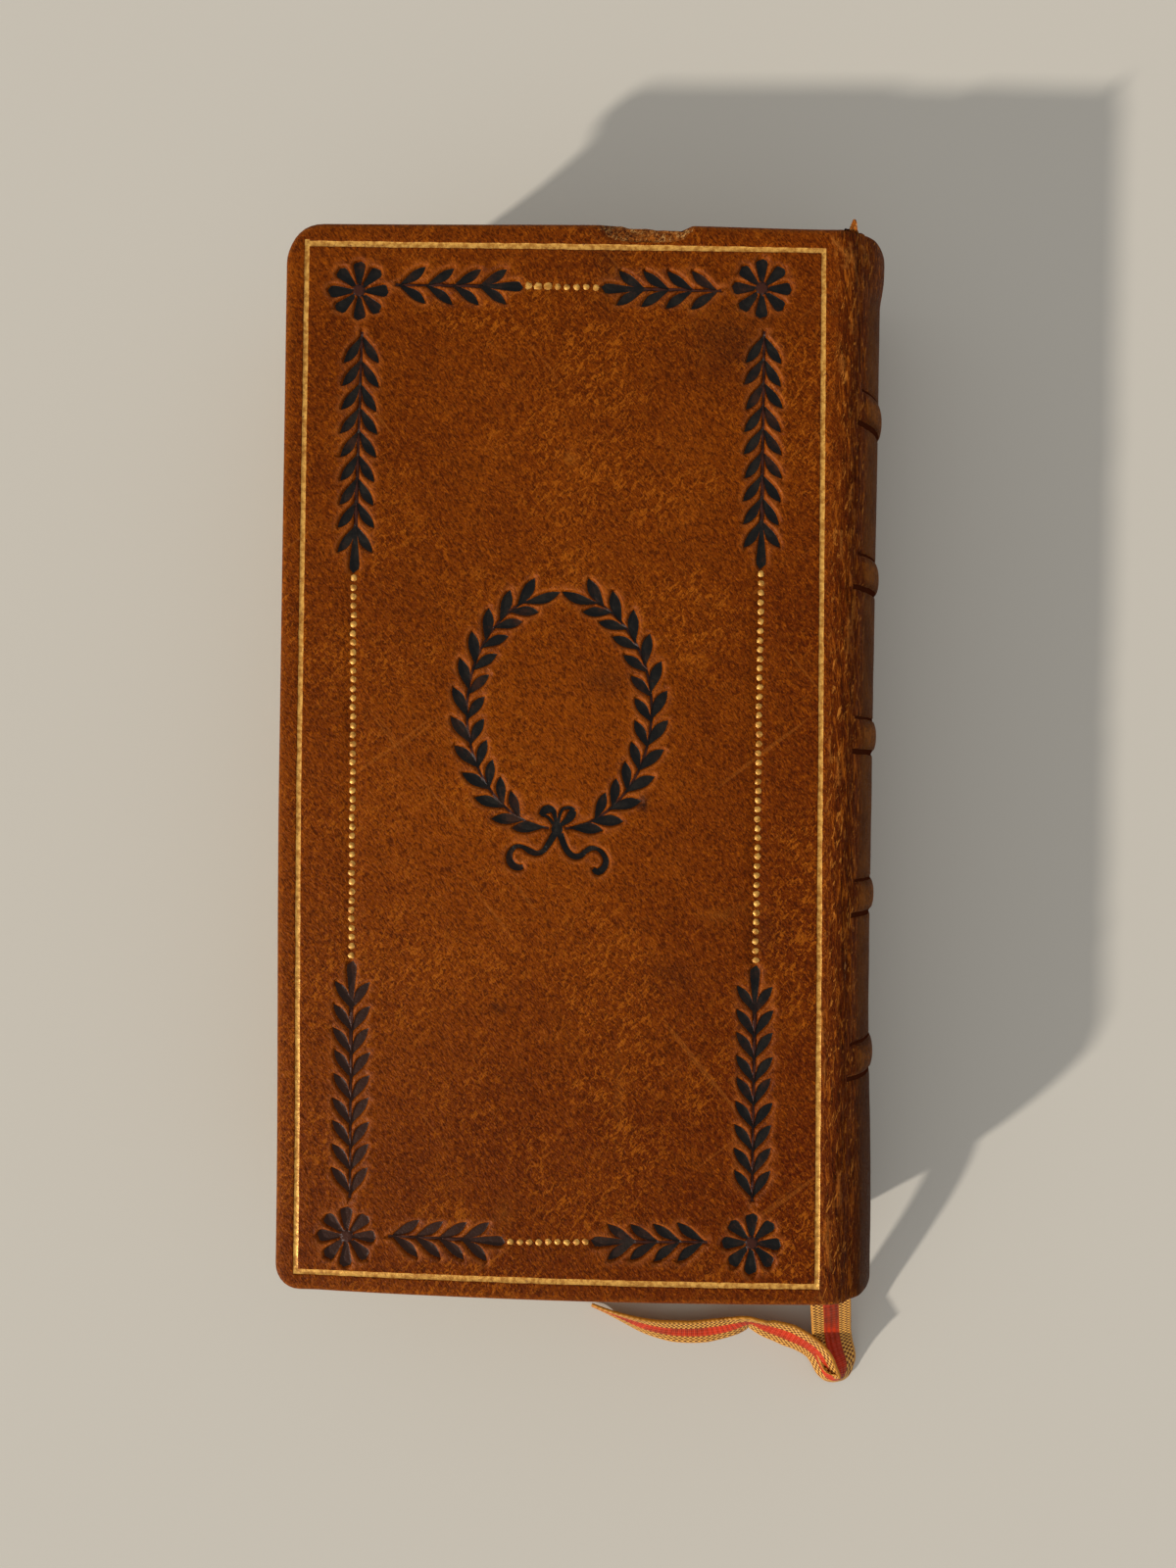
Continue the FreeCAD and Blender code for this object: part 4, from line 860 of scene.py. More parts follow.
def make_leather(front):
    """The leather of one cover with the half of the spine beside it: points, faces, tags and values."""
    lines = [np.minimum(outline, (CROWN_ALONG, HEAD)) for outline in LINES]
    if front:
        flat, faces, border = triangulate(lines, background_points(False))
    else:
        rings = DARK + THIN + FILLET + BEADS + [SCOOP[SCOOP_INSIDE]] + CREASES
        flat, faces, border = triangulate(rings + lines, detail_points())
    across, y = flat[:, 0], flat[:, 1]
    height = leather_height(across, y, front)
    centres = np.array([flat[face].mean(0) for face in faces])
    height -= BAND_LINE_DEPTH * within(flat, LINES, -0.12, 0.14)
    tag = np.where(nearest_shape(centres, LINES) < 0, "line", "leather").astype(object)
    bare, pale, rim = np.zeros((3, len(flat)))
    if not front:
        # rim marks the paler rim round the stamping: rubbed leather, and a painted highlight
        stamped, bare, rim = stamped_height(flat)
        pale = within(flat, CREASES, -0.04, 0.12)
        height += stamped + 0.1 * pale
        torn = within(flat, [SCOOP], -0.3, 0.05)
        height -= torn * (SCOOP_DEPTH + 0.25 * rough(surface(across, y, 0.0), 1.6, 3.0))
        for shapes, name in ((DARK + THIN, "ink"), (BEADS, "beads"), (FILLET, "fillet")):
            tag[nearest_shape(centres, shapes) < 0] = name
        tag[(nearest_shape(centres, [SCOOP]) < 0) & (tag == "leather")] = "suede"
    verts = [surface(across, y, height, front)]

    rings = wrap_edge(height[border], front)
    count, ring_count = len(EDGE_POINTS), len(rings)
    all_verts = np.vstack(verts + rings)
    all_faces = faces + quads([border] + numbered(ring_count, count, len(flat)), flip=True)
    edge_across, edge_y = EDGE_POINTS.T
    torn_edge = (edge_y > 0) & (edge_across > SCOOP_EDGE[0]) & (edge_across < SCOOP_EDGE[1]) & (not front)
    all_tags = list(tag)
    for index in range(ring_count):
        all_tags += ["suede" if torn and index < WORN_RINGS else "leather" for torn in torn_edge[:-1]]
    rest = np.zeros(ring_count * count)
    values = wear_values(across, y, ring_count, front)
    values.update({key: np.concatenate([numbers, rest])
                   for key, numbers in (("pale", pale), ("bare", bare), ("rim", rim))})
    if front:
        return all_verts, [face[::-1] for face in all_faces], all_tags, values
    # The tongue comes with its painted shadow, which joins the dark value.
    flap_verts, flap_faces, flap_painted_shadow = torn_flap()
    all_faces += [[index + len(all_verts) for index in face] for face in flap_faces]
    all_tags += ["suede"] * len(flap_faces)
    values = {key: np.concatenate([numbers, flap_painted_shadow if key == "dark" else np.zeros(len(flap_verts))])
              for key, numbers in values.items()}
    return np.vstack([all_verts, flap_verts]), all_faces, all_tags, values


FLAP_START, FLAP_WIDTH = 33.4, 2.5
FLAP_LOW, FLAP_PEAK = 0.45, 1.15
FLAP_SLOPE = 0.35
FLAP_THICKNESS = (0, 0.05, 0.22)


def torn_flap():
    """A small torn tongue of leather that stands up at the head of the joint, with painted shadow on its left
    side and at its foot.
    """
    rows, columns = 7, 11
    upper, dark = [], []
    for row in range(rows):
        t = row / (rows - 1)
        for column in range(columns):
            side = column / (columns - 1)
            tall = FLAP_LOW + FLAP_PEAK * math.exp(-((side - 0.62) / 0.24) ** 4)
            lean = (0.66 - side) * 0.6 * t
            drop = FLAP_SLOPE * side
            upper.append((FLAP_START + FLAP_WIDTH * side + lean, HEAD - 0.45 + tall * t - drop,
                          TOP - 0.7 + 0.75 * tall * t ** 1.3 - drop))
            # painted shadow: the left side and the foot of the tongue are darkened
            dark.append(1.5 if side < 0.35 or t < 0.3 else 0.0)
    count = rows * columns
    rim = (list(range(0, count, columns)) + list(range(count - columns + 1, count))
           + list(range(count - columns - 1, 0, -columns)))
    faces = quads(numbered(rows, columns)) + quads(numbered(rows, columns, count), flip=True)
    faces += quads([rim, [index + count for index in rim]], flip=True)
    return np.vstack([upper, np.array(upper) - FLAP_THICKNESS]), faces, dark * 2


# Materials: tones are screen values from 0 to 255, and places are in metres

GOLDEN_MIDDLE = (-0.009, -0.006, 0.026)
RUBBED_CORNER = (-0.034, -0.058, 0.026)
SHINE = "Specular IOR Level"
WEFT_PITCH = 0.8
WARP_PITCH = 1 / 3.8
# pitch of the painted sheen, paler stripes across the red of the ribbon
PAINTED_SHEEN_PITCH = 0.31
WAVE_SCALE = 6.28


def srgb(tone):
    """A screen colour as linear light, opaque."""
    shares = [value / 255 for value in tone]
    return tuple(share / 12.92 if share <= 0.04045 else ((share + 0.055) / 1.055) ** 2.4
                 for share in shares) + (1.0,)


class Finish:
    """A material, with short ways to add nodes to it."""

    def __init__(self, name):
        self.material = bpy.data.materials.new(name)
        self.material.use_nodes = True
        self.tree = self.material.node_tree
        self.position = self.add("ShaderNodeTexCoord")["Object"]

    def join(self, node, inputs):
        """Link or set a node's inputs, and leave those that have no value as they are."""
        for socket, value in inputs.items():
            if isinstance(value, (int, float, tuple)):
                node.inputs[socket].default_value = value
            elif value is not None:
                self.tree.links.new(value, node.inputs[socket])

    def add(self, kind, inputs=None, **settings):
        """The outputs of a new node."""
        node = self.tree.nodes.new(kind)
        for key, value in settings.items():
            setattr(node, key, value)
        self.join(node, inputs or {})
        return node.outputs

    def made(self, colour, roughness, normal=None, more=None):
        """The finished material."""
        inputs = {"Base Color": colour, "Roughness": roughness, "Normal": normal, **(more or {})}
        self.join(self.tree.nodes["Principled BSDF"], inputs)
        return self.material

    def axes(self):
        """The object's place across and along."""
        parts = self.add("ShaderNodeSeparateXYZ", {"Vector": self.position})
        return parts["X"], parts["Y"]

    def away_from(self, place):
        """Distance from a place."""
        return self.add("ShaderNodeVectorMath", {0: self.position, 1: place}, operation="DISTANCE")["Value"]

    def stretched(self, scale, turn=0.0):
        """The object's place, turned about Z and then scaled by so much along each axis."""
        inputs = {"Vector": self.position, "Scale": tuple(1 / value for value in scale),
                  "Rotation": (0, 0, math.radians(turn))}
        return self.add("ShaderNodeMapping", inputs, vector_type="TEXTURE")["Vector"]

    def noise(self, scale, detail=3.0, rough=0.55, vector=None, warp=0.0):
        inputs = {"Scale": scale, "Detail": detail, "Roughness": rough, "Distortion": warp,
                  "Vector": vector or self.position}
        return self.add("ShaderNodeTexNoise", inputs)["Fac"]

    def cells(self, scale, vector=None, feature="F1"):
        inputs = {"Scale": scale, "Vector": vector or self.position}
        return self.add("ShaderNodeTexVoronoi", inputs, feature=feature)["Distance"]

    def attribute(self, name):
        return self.add("ShaderNodeAttribute", attribute_name=name)["Fac"]

    def math(self, operation, first, second=0.0, clamp=False):
        return self.add("ShaderNodeMath", {0: first, 1: second}, operation=operation, use_clamp=clamp)[0]

    def plus(self, first, second):
        return self.math("ADD", first, second)

    def times(self, first, second, clamp=False):
        return self.math("MULTIPLY", first, second, clamp)

    def wave(self, value, pitch):
        """A sine wave along a value, one turn for each pitch."""
        return self.math("SINE", self.times(value, 2 * math.pi / pitch))

    def window(self, value, low, high, from_value=0.0, to_value=1.0):
        """A value mapped from low..high, held at its ends."""
        inputs = {"Value": value, "From Min": low, "From Max": high, "To Min": from_value, "To Max": to_value}
        return self.add("ShaderNodeMapRange", inputs, interpolation_type="SMOOTHSTEP")["Result"]

    def mix(self, share, first, second):
        return self.add("ShaderNodeMix", {0: share, 6: first, 7: second}, data_type="RGBA")[2]

    def over(self, colour, share, tone):
        """A colour with a tone laid over it."""
        return self.mix(share, colour, srgb(tone))

    def layers(self, colour, *rows):
        """A colour with tones laid over it; a row says by what value, from where to where, how much."""
        for value, low, high, most, tone in rows:
            colour = self.over(colour, self.window(value, low, high, 0.0, most), tone)
        return colour

    def bump(self, height, distance, strength=1.0, normal=None):
        inputs = {"Strength": strength, "Distance": distance, "Height": height, "Normal": normal}
        return self.add("ShaderNodeBump", inputs)["Normal"]


def leather_material(name):
    """Old calf: deep tan, golden in the middle and redder towards the joint, fine in the grain, worn, with a
    painted highlight on the rims of the stamping.
    """
    n = Finish(name)
    across, along = n.axes()
    joint, rim = n.attribute("joint"), n.attribute("rim")
    blotch = n.noise(170, 4, 0.62, warp=0.5)
    toward_joint = n.math("SUBTRACT", n.times(across, 9.0), n.times(along, 4.0))
    # grain: short creases that run together on a slant
    slant = n.stretched((1.0, 0.48, 1.0), 38)
    grain = n.cells(4600, slant, "SMOOTH_F1")
    creases = n.noise(3400, 3, 0.6, slant, 0.8)
    colour = n.layers(
        srgb((95, 36, 1)),
        (n.noise(38, 4, 0.6), 0.3, 0.7, 1.0, (110, 46, 2)),
        (n.away_from(GOLDEN_MIDDLE), 0.05, 0.0, 0.85, (128, 57, 2)),
        (toward_joint, -0.05, 0.55, 0.85, (84, 26, 1)),
        (blotch, 0.46, 0.72, 0.25, (134, 64, 5)),
        (blotch, 0.44, 0.26, 0.2, (76, 27, 1)),
        (n.noise(1500, 3, 0.6), 0.4, 0.7, 0.22, (142, 68, 4)),
        (creases, 0.5, 0.38, 0.7, (54, 16, 1)),
        (creases, 0.54, 0.66, 0.55, (160, 80, 8)))
    # broken pale strokes, in places
    strokes = n.window(n.noise(2100, 2, 0.6, n.stretched((1.0, 0.4, 1.0), -36), 1.0), 0.54, 0.62)
    places = n.window(n.noise(60, 3), 0.42, 0.62, 0.1, 0.6)
    colour = n.over(colour, n.times(strokes, places), (168, 88, 14))
    # a few fine pale scratches, in two directions
    for turn, scale in ((40, 900), (-52, 760)):
        scratch = n.noise(scale, 2, 0.5, n.stretched((1.0, 0.035, 1.0), turn))
        colour = n.layers(colour, (scratch, 0.7, 0.76, 0.3, (160, 88, 26)))
    # along the joint: long fibres, dark between pale worn ridges
    fibres = n.noise(2300, 5, 0.7, n.stretched((1.0, 0.12, 1.0), 5), 1.0)
    weave = n.noise(2400, 4, 0.7, n.stretched((1.0, 0.2, 1.0), -14), 0.8)
    joint_colour = n.layers(
        srgb((84, 30, 1)),
        (fibres, 0.5, 0.66, 1.0, (166, 86, 16)),
        (fibres, 0.47, 0.36, 1.0, (42, 12, 1)),
        (weave, 0.56, 0.66, 0.8, (206, 126, 44)))
    colour = n.mix(n.times(joint, 0.85), colour, joint_colour)
    spine_colour = n.layers(
        srgb((74, 36, 7)),
        (blotch, 0.3, 0.7, 1.0, (104, 58, 16)),
        (along, -0.02, -0.055, 0.75, (44, 16, 2)))
    colour = n.mix(n.times(n.attribute("spine"), 0.85), colour, spine_colour)
    # wear, pale ridges, the rubbed rim of the stamping with a painted highlight on it, and dark spots, one of
    # them painted shadow under the torn tongue
    scuff = n.window(n.noise(700, 6, 0.75, warp=1.0), 0.4, 0.62, 0.15, 1.0)
    rubbed = n.window(n.noise(260, 4, 0.65), 0.35, 0.65, 0.15, 0.65)
    smear = n.window(n.noise(900, 5, 0.7), 0.25, 0.65, 0.45, 1.0)
    for share, tone in ((n.times(n.attribute("worn"), scuff, True), (146, 82, 22)),
                        (n.times(n.attribute("pale"), 0.4), (186, 110, 40)),
                        (n.times(rim, rubbed), (170, 86, 16)),
                        (n.times(n.attribute("dark"), smear, True), (24, 14, 8))):
        colour = n.over(colour, share, tone)
    normal = n.bump(n.plus(n.times(grain, 0.5), creases), 0.0002, 0.8)
    normal = n.bump(n.times(n.plus(fibres, weave), joint), 0.0005, 0.7, normal)
    normal = n.bump(n.noise(420, 3), 0.00015, 0.5, normal)
    return n.made(colour, n.window(creases, 0.3, 0.7, 0.56, 0.38), normal,
                  {SHINE: n.window(rim, 0.1, 0.8, 0.03, 0.1)})


def suede_material(name):
    """Torn leather: rough orange and dark red fibres, with painted shadow on the torn tongue."""
    n = Finish(name)
    tangle = n.noise(1300, 6, 0.8, n.stretched((1, 0.6, 1), 35), 2.0)
    strands = n.noise(2600, 4, 0.7, n.stretched((1, 0.3, 1), -30), 1.2)
    colour = n.layers(
        srgb((70, 18, 2)),
        (tangle, 0.4, 0.6, 1.0, (206, 112, 30)),
        (strands, 0.52, 0.62, 1.0, (246, 176, 96)))
    # darker by the dark value: dark spots, and painted shadow on the torn tongue and in the gap under it
    colour = n.over(colour, n.times(n.attribute("dark"), 0.9, True), (26, 14, 8))
    return n.made(colour, 0.9, n.bump(n.plus(tangle, strands), 0.0006), {SHINE: 0.1})


def ink_material(name, shine):
    """Near-black burnished leather on the floor of the stamping, brown in its stems and where rubbed."""
    n = Finish(name)
    patches = n.noise(420, 4, 0.65)
    colour = n.layers(
        srgb((13, 11, 8)),
        (patches, 0.4, 0.7, 1.0, (31, 26, 19)),
        (n.noise(150, 5, 0.75), 0.52, 0.68, 0.6, (64, 32, 12)))
    colour = n.over(colour, n.times(n.attribute("bare"), 0.75), (66, 26, 10))
    colour = n.layers(colour, (n.away_from(RUBBED_CORNER), 0.055, 0.01, 0.6, (66, 34, 18)))
    normal = n.bump(n.noise(2600, 3, 0.6), 0.00012, 0.7)
    return n.made(colour, n.window(patches, 0.3, 0.7, 0.34, 0.48), normal, {SHINE: shine})


def gold_material(name):
    """Gold leaf, rubbed through to the leather in places."""
    n = Finish(name)
    patches = n.noise(1400, 4, 0.65)
    gone = n.window(n.noise(2100, 6, 0.8, warp=0.8), 0.57, 0.66)
    colour = n.layers(srgb((168, 108, 26)), (patches, 0.35, 0.65, 1.0, (230, 170, 76)))
    colour = n.over(colour, gone, (112, 56, 16))
    normal = n.bump(n.noise(2400, 4, 0.7), 0.00012, 0.7)
    return n.made(colour, n.window(patches, 0.3, 0.7, 0.5, 0.36), normal,
                  {"Metallic": n.window(gone, 0.0, 1.0, 0.4, 0.0)})


def paper_material(name, tone, shade):
    """Old paper, browned unevenly and lightly foxed."""
    n = Finish(name)
    fibre = n.noise(3000, 3, 0.6)
    spots = n.times(n.window(n.cells(130), 0.16, 0.05, 0.0, 0.5), n.window(n.noise(40, 2), 0.5, 0.6))
    colour = n.layers(srgb(shade), (n.noise(90, 5, 0.6), 0.2, 0.7, 1.0, tone))
    colour = n.over(colour, spots, (150, 104, 58))
    colour = n.layers(colour, (fibre, 0.4, 0.7, 0.25, (236, 222, 190)))
    return n.made(colour, 0.85, n.bump(n.plus(fibre, n.noise(250, 2)), 0.0001, 0.5))


def leaves_material(name):
    """Edges of the leaves: each leaf its own tone, with thumbed brown patches and painted shade in fine lines
    between the leaves.
    """
    n = Finish(name)
    edge = n.attribute("edge")
    streak = n.noise(6000, 2, 0.6, n.stretched((0.02, 0.02, 1.0)))
    grime = n.times(n.window(n.noise(70, 5, 0.65), 0.42, 0.7, 0.0, 0.55), n.window(edge, 0.0, 1.0, 0.3, 1.0))
    # painted shade: fine dark lines between the leaves
    between = n.times(n.window(streak, 0.5, 0.3, 0.0, 0.5), edge)
    colour = n.over(srgb((150, 120, 78)), n.attribute("tone"), (214, 192, 148))
    colour = n.over(n.over(colour, grime, (132, 96, 54)), between, (96, 72, 44))
    return n.made(colour, 0.88, n.bump(streak, 0.0001, 0.6))


def cloth_material(name, tone, shade, pitch):
    """A plain weave of warp and weft, with its pitch in millimetres."""
    n = Finish(name)
    inputs = {"Scale": 1 / (pitch * MM) / WAVE_SCALE, "Distortion": 0.6, "Vector": n.position}
    weave = n.times(*[n.add("ShaderNodeTexWave", inputs, wave_type="BANDS", bands_direction=axis)["Fac"]
                      for axis in ("X", "Y")])
    colour = n.layers(srgb(shade), (weave, 0.1, 0.7, 1.0, tone))
    return n.made(colour, 0.9, n.bump(weave, 0.0002, 0.8))


def board_material(name):
    """Grey-brown pasteboard with flecks."""
    n = Finish(name)
    plies = n.noise(900, 4, 0.7, n.stretched((0.2, 0.2, 2.0)))
    colour = n.over(srgb((112, 96, 72)), plies, (168, 148, 116))
    colour = n.layers(colour, (n.cells(900), 0.18, 0.08, 1.0, (76, 58, 40)))
    return n.made(colour, 0.92, n.bump(plies, 0.0002, 0.6))


def thread_material(name):
    """Silk wound over a core in red and cream turns."""
    n = Finish(name)
    colour = n.layers(
        srgb((142, 44, 28)),
        (n.math("FRACT", n.attribute("turn")), 0.48, 0.52, 1.0, (206, 178, 122)),
        (n.noise(900, 4, 0.7), 0.4, 0.7, 0.5, (96, 64, 40)))
    return n.made(colour, 0.55, None, {"Sheen Weight": 0.2})


def ribbon_material(name):
    """Silk ribbon: a red middle with a painted sheen across it, between checked gold edges."""
    n = Finish(name)
    across, along = n.attribute("across"), n.attribute("along")
    weft, warp = n.wave(along, WEFT_PITCH), n.wave(across, WARP_PITCH)
    off_middle = n.math("ABSOLUTE", across)
    gold = n.layers(srgb((92, 42, 10)), (n.times(weft, warp), -0.25, 0.25, 1.0, (222, 160, 70)))
    red = n.layers(
        srgb((92, 8, 2)),
        (n.noise(120, 4, 0.6), 0.35, 0.65, 1.0, (190, 34, 6)),
        # painted sheen: paler orange stripes across the red
        (n.wave(along, PAINTED_SHEEN_PITCH), -0.6, 0.9, 0.35, (220, 92, 28)))
    colour = n.layers(
        n.mix(n.window(off_middle, 0.36, 0.42), red, gold),
        (off_middle, 0.93, 0.97, 1.0, (196, 130, 44)),
        (n.noise(350, 5, 0.7), 0.5, 0.75, 0.5, (84, 40, 12)))
    height = n.times(n.plus(weft, warp), 0.5)
    return n.made(colour, 0.5, n.bump(height, 0.00012, 0.7), {SHINE: 0.15})


LEATHER = leather_material("old_leather")
SUEDE = suede_material("torn_leather")
INK_FINISH = ink_material("dark_stamping", 0.16)
BAND_LINE_FINISH = ink_material("dark_band_lines", 0.0)
GOLD = gold_material("gold_leaf")
LEAVES = leaves_material("leaf_edges")
ENDPAPER = paper_material("old_endpaper", (214, 196, 158), (186, 160, 118))
BOARD = board_material("old_pasteboard")
LINING = cloth_material("spine_cloth", (196, 180, 144), (128, 108, 78), 0.5)
HEMP = cloth_material("hemp", (170, 140, 96), (104, 80, 50), 0.7)
SILK = thread_material("wound_silk")
RIBBON = ribbon_material("woven_ribbon")

# Leather of the covers and the spine

THIN, DARK = dark_shapes()
FILLET = fillet_shapes()
BEADS = bead_shapes()
CHANNELS = channel_shapes()
LINES = line_shapes()
CREASES = crease_shapes()


def add_part(name, verts, faces, tags, values, wanted, material):
    """A mesh of the faces that have one of the wanted tags."""
    verts, faces, values = part_of(verts, faces, values, [tag in wanted for tag in tags])
    return new_mesh(name, verts, faces, material, values)


def make_covers():
    """The leather of both covers, and what is stamped into it."""
    rear, front = make_leather(False), make_leather(True)
    skins = ("leather", "suede")
    for side, made in (("rear", rear), ("front", front)):
        leather = add_part(side + "_leather", *made, skins, [LEATHER, SUEDE])
        finishes = [skins.index(tag) for tag in made[2] if tag in skins]
        leather.data.polygons.foreach_set("material_index", finishes)
        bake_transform(leather)
        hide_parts(side + "_cover_leather", "spine_leather")
        lines = add_part(side + "_leather_band_lines", *made, ["line"], BAND_LINE_FINISH)
        fit(lines, "block", "spine_dark_tooling")
    for name, tag, material, node, slot in (
            ("stamped_ornament", "ink", INK_FINISH, "rear_dark_tooling", "tooling_dark"),
            ("gold_fillet", "fillet", GOLD, "rear_gold_fillet", "tooling_gold"),
            ("gold_beads", "beads", GOLD, "rear_gold_beads", "tooling_gold")):
        fit(add_part(name, *rear, [tag], material), "rear_cover", node)


make_covers()


# Leaves

LEAF_COUNT = 150
SECTION_LEAVES = 9
FORE_HOLLOW = 2.2
LEAF_WAVE = 0.07


def make_leaves():
    """The sewn leaves, each edge a little uneven, in gathered sections."""
    low, high = node_box("page_block")
    pitch = (high[2] - low[2]) / LEAF_COUNT
    radius = high[0] - SPINE_AXIS_X
    half = (high[2] - low[2]) / 2
    hollow_radius = (half ** 2 + FORE_HOLLOW ** 2) / (2 * FORE_HOLLOW)
    fore_steps = np.linspace(high[1], low[1], 26)
    shares = np.linspace(0, 1, 16)
    ends = ((shares[1:], low[1] + 0.1, 5), (shares[:0:-1], high[1] - 0.1, 9))
    loops, tones = [], []
    for index in range(LEAF_COUNT):
        shift = 0.1 * noise_at(index // SECTION_LEAVES * 3.7, 1.5, 0)
        own = 0.06 * noise_at(index * 5.3, 7.1, 0)
        for z in (low[2] + index * pitch, low[2] + (index + 1) * pitch):
            up = z - MIDDLE_Z
            fore_x = low[0] + math.sqrt(hollow_radius ** 2 - up ** 2) - (hollow_radius - FORE_HOLLOW)
            spine_x = SPINE_AXIS_X + math.sqrt(max(radius ** 2 - up ** 2, 0)) - 0.05
            loop = [(fore_x + shift + own + LEAF_WAVE * noise_at(y * 0.06, index * 0.9, 2) + 0.05, y, z)
                    for y in fore_steps]
            for steps, end_y, seed in ends:
                for share in steps:
                    x = fore_x + (spine_x - fore_x) * share
                    loop.append((x, end_y + own + LEAF_WAVE * noise_at(x * 0.1, index * 0.9, seed), z))
            loops.append(loop)
            tones.append(0.5 + 0.75 * noise_at(index * 2.3, 3.3, 1))
    # the first and the last leaf have their own points, so that they take no colour from the edges
    size = len(loops[0])
    verts = [point for loop in loops + [loops[0], loops[-1]] for point in loop]
    bottom, top = numbered(2, size, len(loops) * size)
    faces = quads(numbered(len(loops), size), closed=True) + [list(bottom[::-1]), list(top)]
    values = {"tone": np.repeat(tones + [0.8, 0.8], size),
              "edge": np.repeat([1.0] * len(loops) + [0.0, 0.0], size)}
    leaves = new_mesh("leaves", verts, faces, LEAVES, values, smooth=False)
    fit(leaves, "block", "page_block")


make_leaves()


# Headbands

def make_headband(name):
    """A wound roll on the end of the leaves, its turns standing proud."""
    low, high = node_box(name)
    outward = 1 if low[1] > 0 else -1
    end_y = low[1] if outward > 0 else high[1]
    tube = high[1] - low[1]
    ring_radius = high[0] - SPINE_AXIS_X - tube
    span = math.asin((high[2] - MIDDLE_Z) / (ring_radius + tube * 0.5))
    steps, around = 221, 9
    verts, values = [], []
    for step in range(steps):
        angle = -span + 2 * span * step / (steps - 1)
        swell = 1.0 if step % 2 else 0.9
        for index in range(around):
            turn = math.pi * index / (around - 1)
            radius = ring_radius + tube * swell * math.cos(turn)
            verts.append((SPINE_AXIS_X + radius * math.cos(angle),
                          end_y + outward * tube * swell * math.sin(turn),
                          MIDDLE_Z + radius * math.sin(angle)))
            values.append(step / 10)
    faces = quads(numbered(steps, around), flip=outward < 0)
    roll = new_mesh(name + "_silk", verts, faces, SILK, {"turn": values})
    fit(roll, "block", name)


make_headband("headband")
make_headband("tailband")

# Nodes that stay as they are, with their finish

PLAIN_NODES = {"spine_lining": LINING}
for cover_name in ("front", "rear"):
    PLAIN_NODES[cover_name + "_board"] = BOARD
    PLAIN_NODES[cover_name + "_pastedown"] = ENDPAPER
for band_number in range(1, len(BAND_YS) + 1):
    PLAIN_NODES[f"spine_band_{band_number}"] = HEMP
for node_name, finish in PLAIN_NODES.items():
    node_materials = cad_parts[node_name].data.materials
    node_materials.clear()
    node_materials.append(finish)


# Ribbon marker

RIBBON_WIDTH = 6.0
RIBBON_THICKNESS = 0.35
RIBBON_WAVE = 0.072
TIP_TAPER = 0.6
TIP_LENGTH = 9
# x, y, z and how far its right-hand edge is lifted, in degrees
RIBBON_ROUTE = [
    (35.9, -70.2, 13.0, 0),
    (36.4, -75.0, 12.6, 0),
    (37.1, -79.6, 10.4, 0),
    (37.9, -83.8, 6.8, 0),
    (38.6, -87.4, 3.4, 0),
    (39.4, -90.6, 2.2, 10),
    (40.4, -93.2, 2.7, 44),
    (40.1, -94.7, 3.0, 58),
    (38.6, -94.7, 3.1, 58),
    (37.6, -92.6, 3.0, 56),
    (36.6, -90.7, 3.0, 50),
    (34.6, -89.4, 2.5, 44),
    (31.9, -88.4, 2.1, 38),
    (28.4, -87.4, 2.1, 44),
    (26.1, -86.2, 2.6, 58),
    (22.6, -87.7, 2.0, 42),
    (17.6, -88.7, 1.9, 36),
    (12.2, -88.4, 1.9, 38),
    (7.2, -86.9, 2.3, 50),
    (1.4, -85.0, 1.4, 64),
]


def smooth_line(points):
    """Points read from the smooth curve whose control points are given, in metres."""
    data = bpy.data.curves.new("route", "CURVE")
    data.dimensions = "3D"
    spline = data.splines.new("NURBS")
    spline.points.add(len(points) - 1)
    for point, place in zip(spline.points, points):
        point.co = (place[0], place[1], place[2], 1.0)
    spline.order_u = 3
    spline.use_endpoint_u = True
    spline.resolution_u = 12
    holder = bpy.data.objects.new("route", data)
    line_mesh = bpy.data.meshes.new_from_object(holder)
    line = np.array([tuple(vert.co) for vert in line_mesh.vertices])
    bpy.data.objects.remove(holder)
    bpy.data.meshes.remove(line_mesh)
    bpy.data.curves.remove(data)
    return line


def make_ribbon():
    """A flat ribbon along its route, with thick edges, a faint wave and a worn narrow tip."""
    line = smooth_line([tuple(value * MM for value in entry[:3]) for entry in RIBBON_ROUTE])
    share = np.linspace(0, len(RIBBON_ROUTE) - 1, len(line))
    banks = np.radians(np.interp(share, np.arange(len(RIBBON_ROUTE)), [entry[3] for entry in RIBBON_ROUTE]))
    path = line / MM
    headings = np.gradient(path, axis=0)
    headings /= np.linalg.norm(headings, axis=1)[:, None]
    steps = np.concatenate([[0], np.cumsum(np.linalg.norm(np.diff(path, axis=0), axis=1))])
    length = steps[-1]
    columns = 15
    verts, across_values = [], []
    for centre, heading, bank, along in zip(path, headings, banks, steps):
        right = np.cross(heading, (0, 0, 1))
        right /= np.linalg.norm(right)
        across = right * math.cos(bank) + np.cross(right, heading) * math.sin(bank)
        through = np.cross(across, heading)
        half = RIBBON_WIDTH / 2 * (1 - TIP_TAPER * float(ramp(along, length - TIP_LENGTH, length)))
        for face in (1, -1):
            for column in range(columns)[::face]:
                side = -1 + 2 * column / (columns - 1)
                selvedge = 1.25 if column in (0, columns - 1) else 1.0
                wave = RIBBON_WAVE * math.sin(along * 0.55 + side * 1.4) * (1 - abs(side))
                offset = face * RIBBON_THICKNESS / 2 * selvedge + wave
                verts.append(centre + across * side * half + through * offset)
                across_values.append(side)
    rows = numbered(len(path), columns * 2)
    faces = quads(rows, closed=True)
    for row, flip in ((rows[0], True), (rows[-1], False)):
        faces += quads([row[:columns], row[:columns - 1:-1]], flip=flip)
    values = {"across": across_values, "along": np.repeat(steps, columns * 2)}
    ribbon = new_mesh("ribbon", verts, faces, RIBBON, values)
    fit(ribbon, "block", "ribbon_marker")


make_ribbon()


# Floor, light and camera

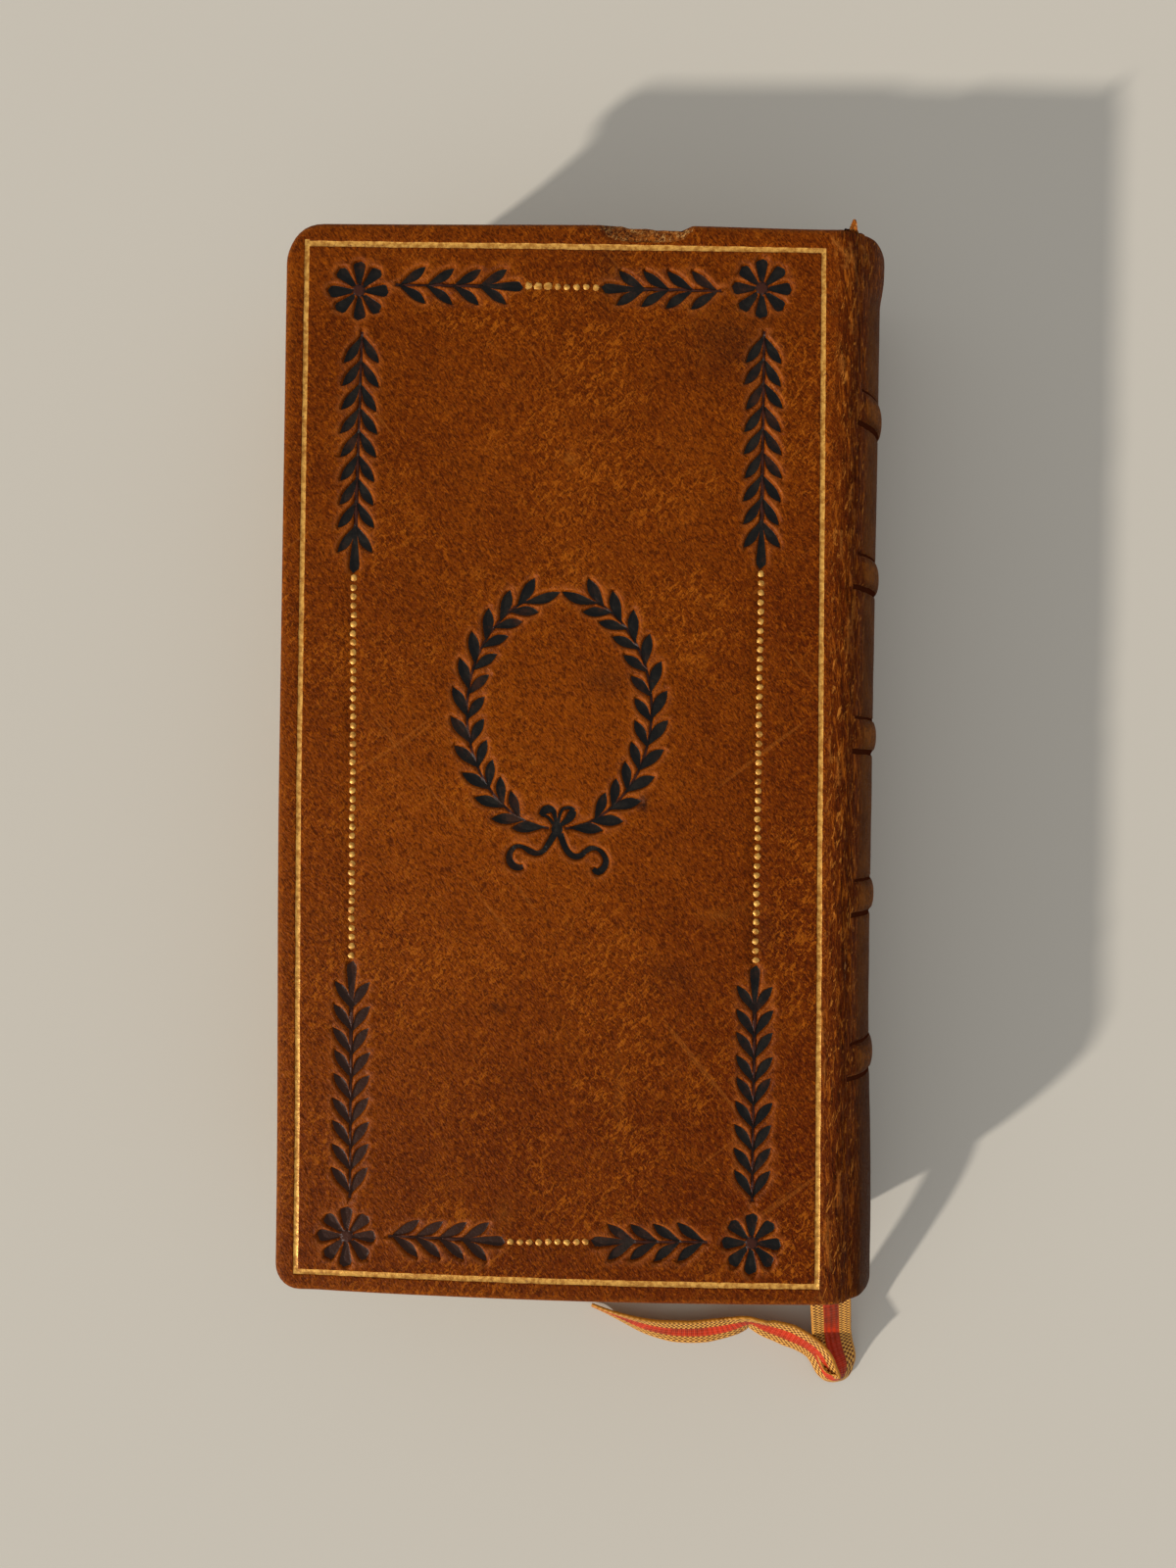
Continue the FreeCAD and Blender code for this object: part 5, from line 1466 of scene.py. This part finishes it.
def make_stage():
    """A level pale floor."""
    mesh = bpy.data.meshes.new("floor")
    reach = 3.0
    mesh.from_pydata([(-reach, -reach, 0), (reach, -reach, 0), (reach, reach, 0), (-reach, reach, 0)],
                     [], [(0, 1, 2, 3)])
    mesh.materials.append(Finish("pale_floor").made(srgb((198, 190, 176)), 0.95))
    floor = bpy.data.objects.new("floor", mesh)
    bpy.context.collection.objects.link(floor)


SUN_STRENGTH = 3.3
SUN_SPREAD = 2.5
SUN_COLOUR = (1.0, 0.965, 0.91)
SUN_TOWARD = (0.73, 0.55, -0.41)
SKY_COLOUR = (0.93, 0.96, 1.0, 1.0)
SKY_STRENGTH = 0.6


def make_light():
    """A low sun from the fore edge, and an even sky."""
    sun = bpy.data.lights.new("low_sun", "SUN")
    sun.energy = SUN_STRENGTH
    sun.angle = math.radians(SUN_SPREAD)
    sun.color = SUN_COLOUR
    lamp = bpy.data.objects.new("low_sun", sun)
    lamp.rotation_euler = Vector(SUN_TOWARD).to_track_quat("-Z", "Y").to_euler()
    bpy.context.collection.objects.link(lamp)
    world = bpy.data.worlds.new("soft_sky")
    world.use_nodes = True
    background = world.node_tree.nodes["Background"]
    background.inputs["Color"].default_value = SKY_COLOUR
    background.inputs["Strength"].default_value = SKY_STRENGTH
    bpy.context.scene.world = world


CAMERA_PLACE = (4.322, -2.606, 186.563)
CAMERA_TURN = (-0.118, 1.501, 0.932)
PHOTO_HEIGHT = 1600
FOCAL_PIXELS = 1202


def make_camera():
    """The photograph's camera, over the book."""
    data = bpy.data.cameras.new("camera")
    data.sensor_fit = "VERTICAL"
    data.sensor_height = 24.0
    data.lens = data.sensor_height * FOCAL_PIXELS / PHOTO_HEIGHT
    data.clip_start = 0.005
    camera = bpy.data.objects.new("camera", data)
    camera.location = [value * MM for value in CAMERA_PLACE]
    camera.rotation_euler = [math.radians(value) for value in CAMERA_TURN]
    bpy.context.collection.objects.link(camera)
    bpy.context.scene.camera = camera


make_stage()
make_light()
make_camera()
bpy.context.scene.view_settings.view_transform = "Standard"
